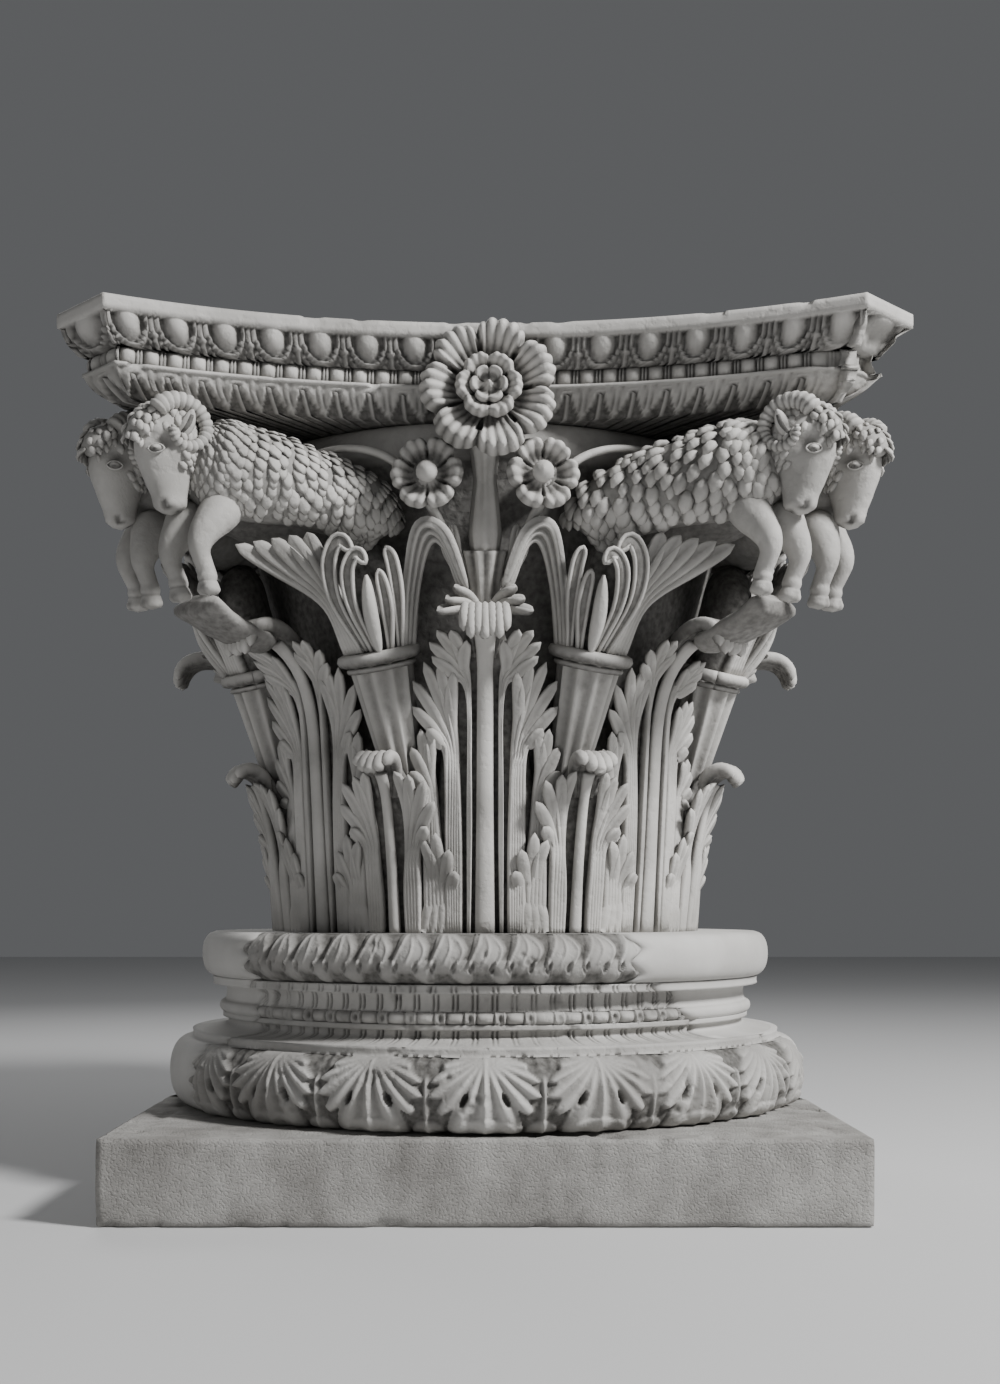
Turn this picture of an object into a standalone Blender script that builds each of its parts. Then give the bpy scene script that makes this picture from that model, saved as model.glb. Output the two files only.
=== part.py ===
"""A figured Corinthian capital with leaping rams, standing on a carved column base and a square plinth.

Metres, +Z up, origin under the middle of the plinth. The face towards -Y is the front. Round the axis, an angle
is measured from the front towards +X, so a point at angle a and radius r is (r sin a, -r cos a).
"""

import math

import bmesh
import bpy
import numpy as np

for thing in list(bpy.data.objects):
    bpy.data.objects.remove(thing)

# Driving dimensions of the plinth and the base
PLINTH_WIDTH = 1.22
PLINTH_HEIGHT = 0.142
PLINTH_EDGE_WEAR = 0.006
BED_GAP = 0.0003

LOWER_TORUS_HEIGHT = 0.120
LOWER_TORUS_RADIUS = 0.606
LOWER_TORUS_BULGE = 0.042
LOWER_FILLET_HEIGHT = 0.015
LOWER_FILLET_RADIUS = 0.558
LOWER_SCOTIA_HEIGHT = 0.023
LOWER_SCOTIA_RADIUS = 0.4915
MIDDLE_FILLET_HEIGHT = 0.009
MIDDLE_FILLET_RADIUS = 0.5015
ASTRAGAL_HEIGHT = 0.021
ASTRAGAL_RADIUS = 0.5085
UPPER_SCOTIA_HEIGHT = 0.031
UPPER_SCOTIA_RADIUS = 0.497
UPPER_FILLET_HEIGHT = 0.014
UPPER_FILLET_RADIUS = 0.520
UPPER_TORUS_HEIGHT = 0.083
UPPER_TORUS_RADIUS = 0.546
UPPER_TORUS_BULGE = 0.034
BASE_LEAVES = 20
BASE_COLUMNS = 30
RESTORED_COLUMNS = 24
LEAF_RELIEF = 0.010

# Where the old carved stone ends and the plain restoration begins, in degrees from the front
UPPER_BREAK = (-50.0, 27.5)
MIDDLE_BREAK = (-53.0, 43.0)
LOWER_BREAK = (-58.0, 78.0)
BREAK_STEP = 0.004
RESTORED_INSET = 0.006
BREAK_GAP = 0.0008

# Driving dimensions of the capital
CAPITAL_HEIGHT = 0.98
ABACUS_HEIGHT = 0.1355
ABACUS_TIP_X = 0.582
ABACUS_TIP_Y = 0.677
ABACUS_SAG = 0.131
ABACUS_SETBACK = 0.068
CORNER_SETBACK = 0.0775
EGGS_PER_FACE = 16
EGG_RELIEF = 0.009

FOOT_RADIUS = 0.362
BELL_WAIST_RADIUS = 0.368
BELL_LIP_RADIUS = 0.488
BELL_LIP_HEIGHT = 0.055

LEAF_FOOT_RADIUS = 0.400
LOWER_LEAF_HEIGHT = 0.283
LOWER_LEAF_REACH = 0.090
LOWER_LEAF_HALF_WIDTH = 0.108
UPPER_LEAF_HEIGHT = 0.506
UPPER_LEAF_REACH = 0.178
UPPER_LEAF_HALF_WIDTH = 0.122
LEAF_THICKNESS = 0.060
LEAVES_PER_ROW = 8

STALK_FOOT_HEIGHT = 0.27
COLLAR_HEIGHT = 0.467
COLLAR_RADIUS = 0.064
COLLAR_BEAD = 0.011

RAM_HEAD_LENGTH = 0.155
ROSETTE_RADIUS = 0.111
ROSETTE_REACH = 0.607
SMALL_ROSETTE_RADIUS = 0.058

CARVING_GRAIN = 0.005
CLOSED_CRACK = 0.008
CARVING_TRIANGLES = 5800
SHORTEST_EDGE = 0.00002

STONE = (0.50, 0.49, 0.47, 1.0)
OLD_STONE = (0.46, 0.45, 0.43, 1.0)
PLASTER = (0.58, 0.57, 0.55, 1.0)
ROUGH_STONE = (0.42, 0.41, 0.39, 1.0)

BASE_FOOT = PLINTH_HEIGHT + BED_GAP
BASE_HEIGHT = (LOWER_TORUS_HEIGHT + LOWER_FILLET_HEIGHT + LOWER_SCOTIA_HEIGHT + MIDDLE_FILLET_HEIGHT
               + ASTRAGAL_HEIGHT + UPPER_SCOTIA_HEIGHT + UPPER_FILLET_HEIGHT + UPPER_TORUS_HEIGHT)
CAPITAL_FOOT = BASE_FOOT + BASE_HEIGHT + BED_GAP
CAPITAL_TOP = CAPITAL_FOOT + CAPITAL_HEIGHT
ABACUS_FOOT = CAPITAL_TOP - ABACUS_HEIGHT
TRIM_ALLOWANCE = 0.02

parts = bpy.data.collections.new("ram_capital")
bpy.context.scene.collection.children.link(parts)


def stone_material(name, colour, roughness):
    material = bpy.data.materials.new(name)
    material.use_nodes = True
    shader = material.node_tree.nodes["Principled BSDF"]
    shader.inputs["Base Color"].default_value = colour
    shader.inputs["Roughness"].default_value = roughness
    shader.inputs["Metallic"].default_value = 0.0
    return material


def mesh_object(name, points, faces):
    """A mesh object in the parts collection from points and faces."""
    mesh = bpy.data.meshes.new(name)
    mesh.from_pydata([tuple(map(float, p)) for p in points], [], [tuple(map(int, f)) for f in faces])
    mesh.validate()
    thing = bpy.data.objects.new(name, mesh)
    parts.objects.link(thing)
    return thing


def baked(thing):
    """The object with its modifiers applied."""
    bpy.context.view_layer.update()
    graph = bpy.context.evaluated_depsgraph_get()
    mesh = bpy.data.meshes.new_from_object(thing.evaluated_get(graph))
    thing.modifiers.clear()
    thing.data = mesh
    return thing


def smooth_path(points, count):
    """A Catmull-Rom curve through points, as count evenly shared samples."""
    points = np.asarray(points, float)
    ends = np.vstack([2 * points[0] - points[1], points, 2 * points[-1] - points[-2]])
    place = np.linspace(0, len(points) - 1, count)
    span = np.minimum(place.astype(int), len(points) - 2)
    u = (place - span)[:, None]
    a, b, c, d = (ends[span + k] for k in range(4))
    return 0.5 * (2 * b + (c - a) * u + (2 * a - 5 * b + 4 * c - d) * u**2 + (3 * b - a - 3 * c + d) * u**3)


def unit(vectors):
    return vectors / np.maximum(np.linalg.norm(vectors, axis=-1, keepdims=True), 1e-9)


def stroke(centres, lift, half_width, half_height, sides=6):
    """A closed bar of elliptic section along centres. lift is the direction that its height stands in."""
    count = len(centres)
    along = unit(np.gradient(centres, axis=0))
    lift = np.broadcast_to(np.asarray(lift, float), centres.shape)
    across = unit(np.cross(along, lift))
    lift = unit(np.cross(across, along))
    half_width = np.broadcast_to(half_width, (count,))[:, None, None]
    half_height = np.broadcast_to(half_height, (count,))[:, None, None]
    turn = np.arange(sides) * 2 * math.pi / sides
    rings = (centres[:, None, :] + np.cos(turn)[None, :, None] * half_width * across[:, None, :]
             + np.sin(turn)[None, :, None] * half_height * lift[:, None, :])
    ends = np.array([centres[0] - along[0] * half_height[0, 0, 0], centres[-1] + along[-1] * half_height[-1, 0, 0]])
    points = np.vstack([rings.reshape(-1, 3), ends])
    faces = []
    for ring in range(count - 1):
        for side in range(sides):
            after = (side + 1) % sides
            low, high = ring * sides, (ring + 1) * sides
            faces.append((low + side, high + side, high + after, low + after))
    first, last = count * sides, count * sides + 1
    for side in range(sides):
        after = (side + 1) % sides
        faces.append((first, side, after))
        faces.append((last, (count - 1) * sides + after, (count - 1) * sides + side))
    return points, faces


def joined(shapes):
    """Several (points, faces) shapes as one."""
    points, faces, start = [], [], 0
    for p, f in shapes:
        points.append(p)
        faces.extend(tuple(i + start for i in face) for face in f)
        start += len(p)
    return np.vstack(points), faces


def turned_about(shape, degrees):
    """The shape turned about the axis, from the front towards +X."""
    points, faces = shape
    a = math.radians(degrees)
    x, y = points[:, 0], points[:, 1]
    return np.column_stack([x * math.cos(a) - y * math.sin(a), x * math.sin(a) + y * math.cos(a), points[:, 2]]), faces


def mirrored(shape):
    """The shape's mirror image across the front face's middle, with its faces still pointing out."""
    points, faces = shape
    return points * (-1, 1, 1), [tuple(reversed(face)) for face in faces]


# The plinth: a square slab with worn edges
def make_plinth():
    bpy.ops.mesh.primitive_cube_add(size=1, location=(0, 0, PLINTH_HEIGHT / 2))
    plinth = bpy.context.object
    plinth.name = "plinth"
    plinth.scale = (PLINTH_WIDTH, PLINTH_WIDTH, PLINTH_HEIGHT)
    bpy.ops.object.transform_apply(location=False, rotation=False, scale=True)
    bevel = plinth.modifiers.new("worn edges", "BEVEL")
    bevel.width = PLINTH_EDGE_WEAR
    bevel.segments = 1
    for collection in list(plinth.users_collection):
        collection.objects.unlink(plinth)
    parts.objects.link(plinth)
    plinth.data.materials.append(stone_material("rough stone", ROUGH_STONE, 0.9))
    return plinth


# The base: a profile of mouldings, carved where the old stone is kept and plain where it is restored
def torus_rows(foot, height, radius, bulge, rows):
    """Rows (radius, height, carving share) up a half-round moulding, an ellipse of semi-axes bulge and half height."""
    turn = np.linspace(-math.pi / 2, math.pi / 2, rows)
    return [(radius - bulge + bulge * math.cos(a), foot + height / 2 + height / 2 * math.sin(a), math.cos(a))
            for a in turn]


def base_rows():
    """Rows (radius, z, carving share, (break left, break right)) from the base's bed to its top."""
    rows = []

    def add(points, breaks):
        rows.extend((r, z, share, breaks) for r, z, share in points)

    z = BASE_FOOT
    add(torus_rows(z, LOWER_TORUS_HEIGHT, LOWER_TORUS_RADIUS, LOWER_TORUS_BULGE, 7), LOWER_BREAK)
    z += LOWER_TORUS_HEIGHT
    fillet_break = (MIDDLE_BREAK[0], LOWER_BREAK[1] - 16.0)
    add([(LOWER_FILLET_RADIUS, z + BREAK_STEP, 0), (LOWER_FILLET_RADIUS, z + LOWER_FILLET_HEIGHT, 0)], fillet_break)
    z += LOWER_FILLET_HEIGHT
    flare = LOWER_SCOTIA_RADIUS + 0.25 * (LOWER_FILLET_RADIUS - LOWER_SCOTIA_RADIUS)
    add([(flare, z + BREAK_STEP, 0), (LOWER_SCOTIA_RADIUS, z + LOWER_SCOTIA_HEIGHT * 0.6, 0),
         (LOWER_SCOTIA_RADIUS, z + LOWER_SCOTIA_HEIGHT - BREAK_STEP / 2, 0)], MIDDLE_BREAK)
    z += LOWER_SCOTIA_HEIGHT
    add([(MIDDLE_FILLET_RADIUS, z, 0), (MIDDLE_FILLET_RADIUS, z + MIDDLE_FILLET_HEIGHT, 0)], MIDDLE_BREAK)
    z += MIDDLE_FILLET_HEIGHT
    add([(ASTRAGAL_RADIUS, z + ASTRAGAL_HEIGHT / 2, 0)], MIDDLE_BREAK)
    z += ASTRAGAL_HEIGHT
    add([(MIDDLE_FILLET_RADIUS, z, 0), (UPPER_SCOTIA_RADIUS, z + BREAK_STEP, 0),
         (UPPER_SCOTIA_RADIUS, z + UPPER_SCOTIA_HEIGHT - BREAK_STEP, 0)], MIDDLE_BREAK)
    z += UPPER_SCOTIA_HEIGHT
    add([(UPPER_FILLET_RADIUS, z, 0)], MIDDLE_BREAK)
    add([(UPPER_FILLET_RADIUS, z + UPPER_FILLET_HEIGHT, 0)], UPPER_BREAK)
    z += UPPER_FILLET_HEIGHT
    add(torus_rows(z + BREAK_STEP / 2, UPPER_TORUS_HEIGHT - BREAK_STEP / 2, UPPER_TORUS_RADIUS, UPPER_TORUS_BULGE, 5),
        UPPER_BREAK)
    return rows


def base_leaf(angle):
    """The lower torus's leaves: 1 on a leaf's midrib, 0 in the gap between two."""
    return 0.5 + 0.5 * np.cos(BASE_LEAVES * angle)


def sector(rows, columns, limits, inset, carved):
    """A closed solid of the base's profile between two angles that change with height. It is shut by a flat bed,
    a flat top and a break face between its two ends."""
    points = []
    for r, z, share, breaks in rows:
        start, end = limits(r, breaks)
        angle = np.linspace(start, end, columns + 1)
        radius = np.full_like(angle, r - inset * share)
        if carved and z < BASE_FOOT + LOWER_TORUS_HEIGHT:
            radius = radius + LEAF_RELIEF * share * (base_leaf(angle) - 0.5)
        points.append(np.column_stack([radius * np.sin(angle), -radius * np.cos(angle), np.full_like(angle, z)]))
    wide = columns + 1
    faces = []
    for row in range(len(rows) - 1):
        low, high = row * wide, (row + 1) * wide
        faces.extend((low + i, low + i + 1, high + i + 1, high + i) for i in range(columns))
        if carved:
            faces.extend([(low + columns, low, high + columns), (low, high, high + columns)])
        else:
            faces.extend([(low + columns, low, high), (low + columns, high, high + columns)])
    top = (len(rows) - 1) * wide
    faces.append(tuple(range(top, top + wide)))
    faces.append(tuple(reversed(range(wide))))
    return np.vstack(points), faces


def make_base():
    rows = base_rows()

    def old_limits(r, breaks):
        return math.radians(breaks[0]), math.radians(breaks[1])

    def restored_limits(r, breaks):
        gap = BREAK_GAP / r
        return math.radians(breaks[1]) + gap, math.radians(breaks[0]) + 2 * math.pi - gap

    old = mesh_object("base_carved_stone", *sector(rows, BASE_COLUMNS, old_limits, 0.0, True))
    old.data.materials.append(stone_material("old carved stone", OLD_STONE, 0.85))
    plain = mesh_object("base_restoration", *sector(rows, RESTORED_COLUMNS, restored_limits, RESTORED_INSET, False))
    plain.data.materials.append(stone_material("plaster", PLASTER, 0.8))
    for thing in (old, plain):
        thing.data.shade_smooth()
        thing.data.set_sharp_from_angle(angle=math.radians(40))


# The capital's leaves, each a lobed sheet on a bent strip: s runs across it, t up it, n out of it
class Spine:
    """The bent middle line of a leaf, from heights and reaches given as shares of its own height and reach."""

    def __init__(self, shares, height, reach):
        outline = smooth_path([(LEAF_FOOT_RADIUS + reach * out, height * up) for out, up in shares], 60)
        outline = np.vstack([(LEAF_FOOT_RADIUS, -TRIM_ALLOWANCE), outline])
        self.line = outline
        steps = np.linalg.norm(np.diff(outline, axis=0), axis=1)
        self.length = np.concatenate([[0], np.cumsum(steps)]) - TRIM_ALLOWANCE
        slope = unit(np.gradient(outline, axis=0))
        self.normal = np.column_stack([slope[:, 1], -slope[:, 0]])

    def at(self, s, t, n):
        """Points with z from the capital's foot."""
        r, z = (np.interp(t, self.length, self.line[:, k]) for k in (0, 1))
        nr, nz = (np.interp(t, self.length, self.normal[:, k]) for k in (0, 1))
        angle = s / r
        radius = r + n * nr
        return np.column_stack([radius * np.sin(angle), -radius * np.cos(angle), z + n * nz])


LOWER_SPINE = [(0, 0), (0.13, 0.36), (0.28, 0.64), (0.43, 0.83), (0.62, 0.96), (0.87, 1.0), (1.0, 0.975)]
UPPER_SPINE = [(0, 0), (0.045, 0.24), (0.09, 0.49), (0.135, 0.69), (0.20, 0.80), (0.30, 0.88), (0.45, 0.945),
               (0.65, 0.99), (0.84, 1.0), (0.965, 0.985), (1.0, 0.95)]

# Rows of a leaf from its foot: share of its length at the midrib, share of its half width, share at the edge.
# A lobe's tip is wide and leans up, and the notch above it is narrow.
LOWER_LEAF_ROWS = [(-0.06, 0.80, -0.06), (0.20, 0.92, 0.28), (0.34, 1.00, 0.50), (0.46, 0.46, 0.50),
                   (0.55, 0.80, 0.66), (0.64, 0.84, 0.80), (0.77, 0.42, 0.82), (0.88, 0.48, 0.92),
                   (0.99, 0.28, 0.99)]
UPPER_LEAF_ROWS = [(-0.03, 0.62, -0.03), (0.30, 0.78, 0.30), (0.38, 0.84, 0.44), (0.45, 1.00, 0.54), (0.50, 0.54, 0.53),
                   (0.56, 0.80, 0.64), (0.62, 0.95, 0.745), (0.675, 0.40, 0.70), (0.74, 0.70, 0.81),
                   (0.80, 0.78, 0.885), (0.885, 0.38, 0.91), (0.95, 0.32, 0.96), (0.995, 0.16, 0.995)]
# Columns of a leaf: share of its half width, and how far the face stands out there
LEAF_COLUMNS = [(-1.0, 0.004), (-0.32, -0.007), (0.0, 0.013), (0.32, -0.007), (1.0, 0.004)]
LEAF_BACK = 0.86


def leaf(spine, rows, half_width):
    """A whole leaf: a raised midrib, a groove beside it, lobed edges, and the stone that joins it to the bell."""
    end = spine.length[-1]
    points = []
    across = np.array([share for share, _ in LEAF_COLUMNS] + [LEAF_BACK, -LEAF_BACK])
    for middle, wide, edge in rows:
        back = -LEAF_THICKNESS * (1 - 0.75 * middle)
        s = across * wide * half_width
        t = (middle + (edge - middle) * across**2) * end
        n = np.array([relief for _, relief in LEAF_COLUMNS] + [back, back])
        points.append(spine.at(s, np.minimum(t, end), n))
    sides = len(across)
    faces = []
    for row in range(len(rows) - 1):
        low, high = row * sides, (row + 1) * sides
        for k in range(sides):
            after = (k + 1) % sides
            faces.extend([(low + k, low + after, high + after), (low + k, high + after, high + k)])
    last = (len(rows) - 1) * sides
    faces.append(tuple(reversed(range(sides))))
    faces.append(tuple(range(last, last + sides)))
    return np.vstack(points), faces


def polar(angle, radius, height):
    a = math.radians(angle)
    return (radius * math.sin(a), -radius * math.cos(a), height)


# The fluted stalks between the leaves, with their collars and the long leaves that grow from them
COLLAR_CENTRE = (0.1775, -0.410, COLLAR_HEIGHT)
STALK_FOOT = (0.137, -0.366, STALK_FOOT_HEIGHT)


def make_stalk():
    foot, head = np.array(STALK_FOOT), np.array(COLLAR_CENTRE)
    axis = unit(head - foot)
    path = foot + np.linspace(0, 1, 3)[:, None] * (head - foot)
    shapes = [stroke(path, (0, -1, 0), np.linspace(0.036, COLLAR_RADIUS * 0.86, 3),
                     np.linspace(0.036, COLLAR_RADIUS * 0.8, 3), 8)]
    band = head + np.linspace(-COLLAR_BEAD, COLLAR_BEAD, 3)[:, None] * axis
    bulge = COLLAR_RADIUS + COLLAR_BEAD * 0.7 * np.array([0, 1, 0])
    shapes.append(stroke(band, (0, -1, 0), bulge, bulge * 0.92, 8))
    # The outer leaf, under the ram's belly, and the heart of the calyx behind it
    outer = [head + (0.030, -0.020, 0.0), (0.232, -0.455, 0.545), (0.300, -0.485, 0.605), (0.372, -0.520, 0.638)]
    shapes.append(stroke(smooth_path(outer, 4), (0.2, -1, 0.5), np.array([0.030, 0.034, 0.036, 0.034]), 0.015, 6))
    for x, y, z in ((0.322, -0.508, 0.660), (0.360, -0.522, 0.664), (0.400, -0.535, 0.656)):
        lobe = np.array([(x - 0.040, y + 0.025, z - 0.045), (x, y, z)])
        shapes.append(stroke(lobe, (0, -1, 0), 0.014, 0.014, 4))
    heart = [head, (0.205, -0.425, 0.56), (0.250, -0.440, 0.655)]
    shapes.append(stroke(smooth_path(heart, 3), (0, -1, 0), np.array([0.052, 0.062, 0.085]), 0.045, 6))
    # The two hooked lobes, the bud between them, and the inner leaf that bends over towards the middle
    for start, bend, tip, half in (((0.010, -0.030, 0), (0.232, -0.470, 0.565), (0.247, -0.500, 0.640), 0.014),
                                   ((-0.012, -0.030, 0), (0.200, -0.478, 0.545), (0.205, -0.508, 0.610), 0.012),
                                   ((-0.030, -0.025, 0), (0.158, -0.470, 0.560), (0.160, -0.498, 0.635), 0.013)):
        path = smooth_path([head + start, bend, tip], 3)
        shapes.append(stroke(path, (0, -1, 0), np.array([0.8, 1.2, 0.9]) * half, 0.015, 5))
    inner = [head + (-0.042, -0.015, 0), (0.118, -0.455, 0.570), (0.103, -0.482, 0.640), (0.070, -0.486, 0.632),
             (0.045, -0.474, 0.565)]
    shapes.append(stroke(smooth_path(inner, 6), (0, -1, 0.2), np.array([0.014, 0.018, 0.018, 0.016, 0.012, 0.007]),
                         0.014, 5))
    return joined(shapes)


# One ram of the pair at the front right corner, leaping out of its calyx
RAM_BODY = [(0.170, -0.430, 0.655), (0.205, -0.452, 0.700), (0.285, -0.490, 0.725), (0.368, -0.528, 0.735),
            (0.432, -0.548, 0.742), (0.480, -0.565, 0.755)]
RAM_GIRTH = [0.052, 0.062, 0.068, 0.078, 0.080, 0.050]
RAM_POLL = (0.488, -0.590, 0.795)
RAM_FORWARD = (0.80, -0.60, 0.0)
RAM_LEGS = [((0.405, -0.553, 0.680), (0.445, -0.585, 0.618), (0.440, -0.578, 0.570), (0.434, -0.572, 0.536)),
            ((0.465, -0.540, 0.670), (0.497, -0.552, 0.608), (0.491, -0.545, 0.565), (0.483, -0.538, 0.531))]
LEG_HALF_WIDTHS = (0.024, 0.017, 0.012, 0.017)
HORN_SIDES = 5


def head_point(forward, side, down):
    """A point of the ram's head, from its poll, in shares of the head's length."""
    ahead = np.array(RAM_FORWARD)
    aside = np.array([-ahead[1], ahead[0], 0.0])
    return np.array(RAM_POLL) + RAM_HEAD_LENGTH * (forward * ahead - side * aside + np.array([0, 0, -down]))


def make_ram():
    girth = np.array(RAM_GIRTH)
    shapes = [stroke(np.array(RAM_BODY), (0, 0, 1), girth * 0.92, girth, 8)]
    skull = np.array([head_point(-0.10, 0, -0.02), head_point(0.08, 0, 0.18), head_point(0.18, 0, 0.48),
                      head_point(0.17, 0, 0.82), head_point(0.12, 0, 1.0)])
    shapes.append(stroke(skull, RAM_FORWARD, np.array([0.040, 0.044, 0.034, 0.026, 0.020]),
                         np.array([0.046, 0.050, 0.040, 0.032, 0.022]), 6))
    turn = np.radians(np.linspace(80, 390, 7))
    reach = np.linspace(0.29, 0.17, 7)
    horn = np.array([head_point(-0.16 + q * math.cos(a), 0.24 + 0.035 * k, 0.16 - q * math.sin(a))
                     for k, (a, q) in enumerate(zip(turn, reach))])
    thickness = np.linspace(0.019, 0.009, 7)
    shapes.append(stroke(horn, (0.6, 0.8, 0), thickness, thickness, HORN_SIDES))
    ear = np.array([head_point(-0.10, 0.22, 0.18), head_point(-0.20, 0.42, 0.16)])
    shapes.append(stroke(ear, (0, 0, 1), 0.010, 0.018, 4))
    for leg in RAM_LEGS:
        shapes.append(stroke(np.array(leg), (0, -1, 0), np.array(LEG_HALF_WIDTHS), np.array(LEG_HALF_WIDTHS), 5))
    return joined(shapes)


# The middle of each face: a flower on a stalk, and two small flowers on bending stems
def flower(centre, facing, radius, depth, petals):
    """A closed flower that faces a direction. Its rim goes in and out once a petal, and its face is a hollow."""
    facing = unit(np.array(facing, float))
    across = unit(np.cross(facing, (0, 0, 1)))
    upward = np.cross(across, facing)
    sides = 2 * petals
    turn = (np.arange(sides) + 0.5) * 2 * math.pi / sides
    rim = np.where(np.arange(sides) % 2 == 0, 1.0, 0.86)
    centre = np.array(centre, float)
    points = [centre - 1.2 * depth * facing]
    for share, out in ((0.55, -1.0), (1.0, 0.0), (0.62, 0.55)):
        ring = radius * share * (rim if share == 1.0 else 1.0)
        place = (np.cos(turn) * ring)[:, None] * across + (np.sin(turn) * ring)[:, None] * upward
        points.extend(centre + place + out * depth * facing)
    points.append(centre + 0.1 * depth * facing)
    faces = []
    for side in range(sides):
        after = (side + 1) % sides
        faces.append((0, 1 + after, 1 + side))
        for ring in range(2):
            low, high = 1 + ring * sides, 1 + (ring + 1) * sides
            faces.append((low + side, low + after, high + after, high + side))
        faces.append((1 + 2 * sides + side, 1 + 2 * sides + after, 1 + 3 * sides))
    return np.array(points), faces


def make_face_flowers():
    flower_height = CAPITAL_HEIGHT - ROSETTE_RADIUS - 0.002
    middle = 0.006
    shapes = [flower((middle, -ROSETTE_REACH + 0.030, flower_height), (0, -1, 0), ROSETTE_RADIUS, 0.030, 7)]
    boss = np.array([(middle, -0.540, flower_height), (middle, -ROSETTE_REACH + 0.020, flower_height),
                     (middle, -ROSETTE_REACH + 0.002, flower_height)])
    shapes.append(stroke(boss, (0, 0, 1), np.array([0.050, 0.054, 0.036]), np.array([0.050, 0.054, 0.036]), 8))
    back = np.array([(0.0, -0.44, flower_height), (0.0, -0.57, flower_height)])
    shapes.append(stroke(back, (0, 0, 1), 0.066, 0.066, 8))
    stalk = np.array([(0, -0.465, 0.530), (0, -0.478, 0.590), (0, -0.486, 0.630), (0, -0.488, 0.640),
                      (0, -0.500, 0.735), (0, -0.535, 0.800)])
    girth = np.array([0.020, 0.030, 0.040, 0.026, 0.017, 0.030])
    shapes.append(stroke(stalk, (0, -1, 0), girth, girth, 6))
    stem = smooth_path([(0.020, -0.440, 0.53), (0.055, -0.460, 0.62), (0.095, -0.495, 0.700), (0.150, -0.503, 0.762),
                        (0.225, -0.490, 0.790)], 6)
    shapes.append(stroke(stem, (0, -1, 0), 0.012, 0.014, 4))
    shapes.append(mirrored(shapes[-1]))
    small = flower((0.092, -0.530, 0.742), (0.15, -1, 0.0), SMALL_ROSETTE_RADIUS, 0.018, 5)
    post = stroke(np.array([(0.085, -0.44, 0.742), (0.092, -0.530, 0.742)]), (0, 0, 1), 0.022, 0.022, 5)
    for shape in (small, post):
        shapes.extend([shape, mirrored(shape)])
    return joined(shapes)


def make_corner_strut():
    """The stone left under the hooves at 45 degrees, and the core behind the two rams."""
    path = np.array([polar(45, 0.50, 0.500), polar(45, 0.60, 0.525), polar(45, 0.655, 0.560)])
    shapes = [stroke(path, (0, 0, 1), np.array([0.050, 0.048, 0.055]), 0.030, 6)]
    core = np.array([polar(45, 0.42, 0.69), polar(45, 0.58, 0.73), polar(45, 0.71, 0.77)])
    shapes.append(stroke(core, (0, 0, 1), np.array([0.10, 0.09, 0.06]), np.array([0.085, 0.080, 0.070]), 6))
    return joined(shapes)


def make_bell():
    """The bell behind the leaves: a turned profile, run from its lip down its outer side."""
    lip = CAPITAL_HEIGHT - ABACUS_HEIGHT + TRIM_ALLOWANCE
    shoulder = lip - TRIM_ALLOWANCE - BELL_LIP_HEIGHT
    outline = [(0, lip), (BELL_LIP_RADIUS - 0.014, lip), (BELL_LIP_RADIUS, lip - TRIM_ALLOWANCE - 0.012),
               (BELL_LIP_RADIUS, shoulder + 0.014), (BELL_LIP_RADIUS - 0.016, shoulder),
               (0.455, shoulder - 0.035), (0.420, 0.62), (0.392, 0.50), (BELL_WAIST_RADIUS, 0.34),
               (FOOT_RADIUS, -TRIM_ALLOWANCE), (0, -TRIM_ALLOWANCE)]
    mesh = bpy.data.meshes.new("bell")
    mesh.from_pydata([(r, 0, z) for r, z in outline], [(i, i + 1) for i in range(len(outline) - 1)], [])
    bell = bpy.data.objects.new("bell", mesh)
    parts.objects.link(bell)
    screw = bell.modifiers.new("turned", "SCREW")
    screw.steps = 40
    screw.render_steps = 40
    screw.use_merge_vertices = True
    screw.merge_threshold = 0.0001
    return baked(bell)


def carving_shapes():
    """Everything carved on the bell, with z from the capital's foot."""
    lower = Spine(LOWER_SPINE, LOWER_LEAF_HEIGHT, LOWER_LEAF_REACH)
    upper = Spine(UPPER_SPINE, UPPER_LEAF_HEIGHT, UPPER_LEAF_REACH)
    low_leaf = leaf(lower, LOWER_LEAF_ROWS, LOWER_LEAF_HALF_WIDTH)
    high_leaf = leaf(upper, UPPER_LEAF_ROWS, UPPER_LEAF_HALF_WIDTH)
    step = 360 / LEAVES_PER_ROW
    shapes = [turned_about(low_leaf, (k + 0.5) * step) for k in range(LEAVES_PER_ROW)]
    shapes += [turned_about(high_leaf, k * step) for k in range(LEAVES_PER_ROW)]
    stalk, ram, flowers, strut = make_stalk(), make_ram(), make_face_flowers(), make_corner_strut()
    for quarter in range(4):
        for shape in (stalk, mirrored(stalk), ram, mirrored(ram), flowers, strut):
            shapes.append(turned_about(shape, quarter * 90))
    return joined(shapes)


def one_skin(thing):
    skin = thing.modifiers.new("one skin", "REMESH")
    skin.mode = "VOXEL"
    skin.voxel_size = CARVING_GRAIN
    return baked(thing)


def moved_out(thing, distance):
    shift = thing.modifiers.new("moved along its normals", "DISPLACE")
    shift.mid_level = 0.0
    shift.strength = distance
    return baked(thing)


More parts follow.
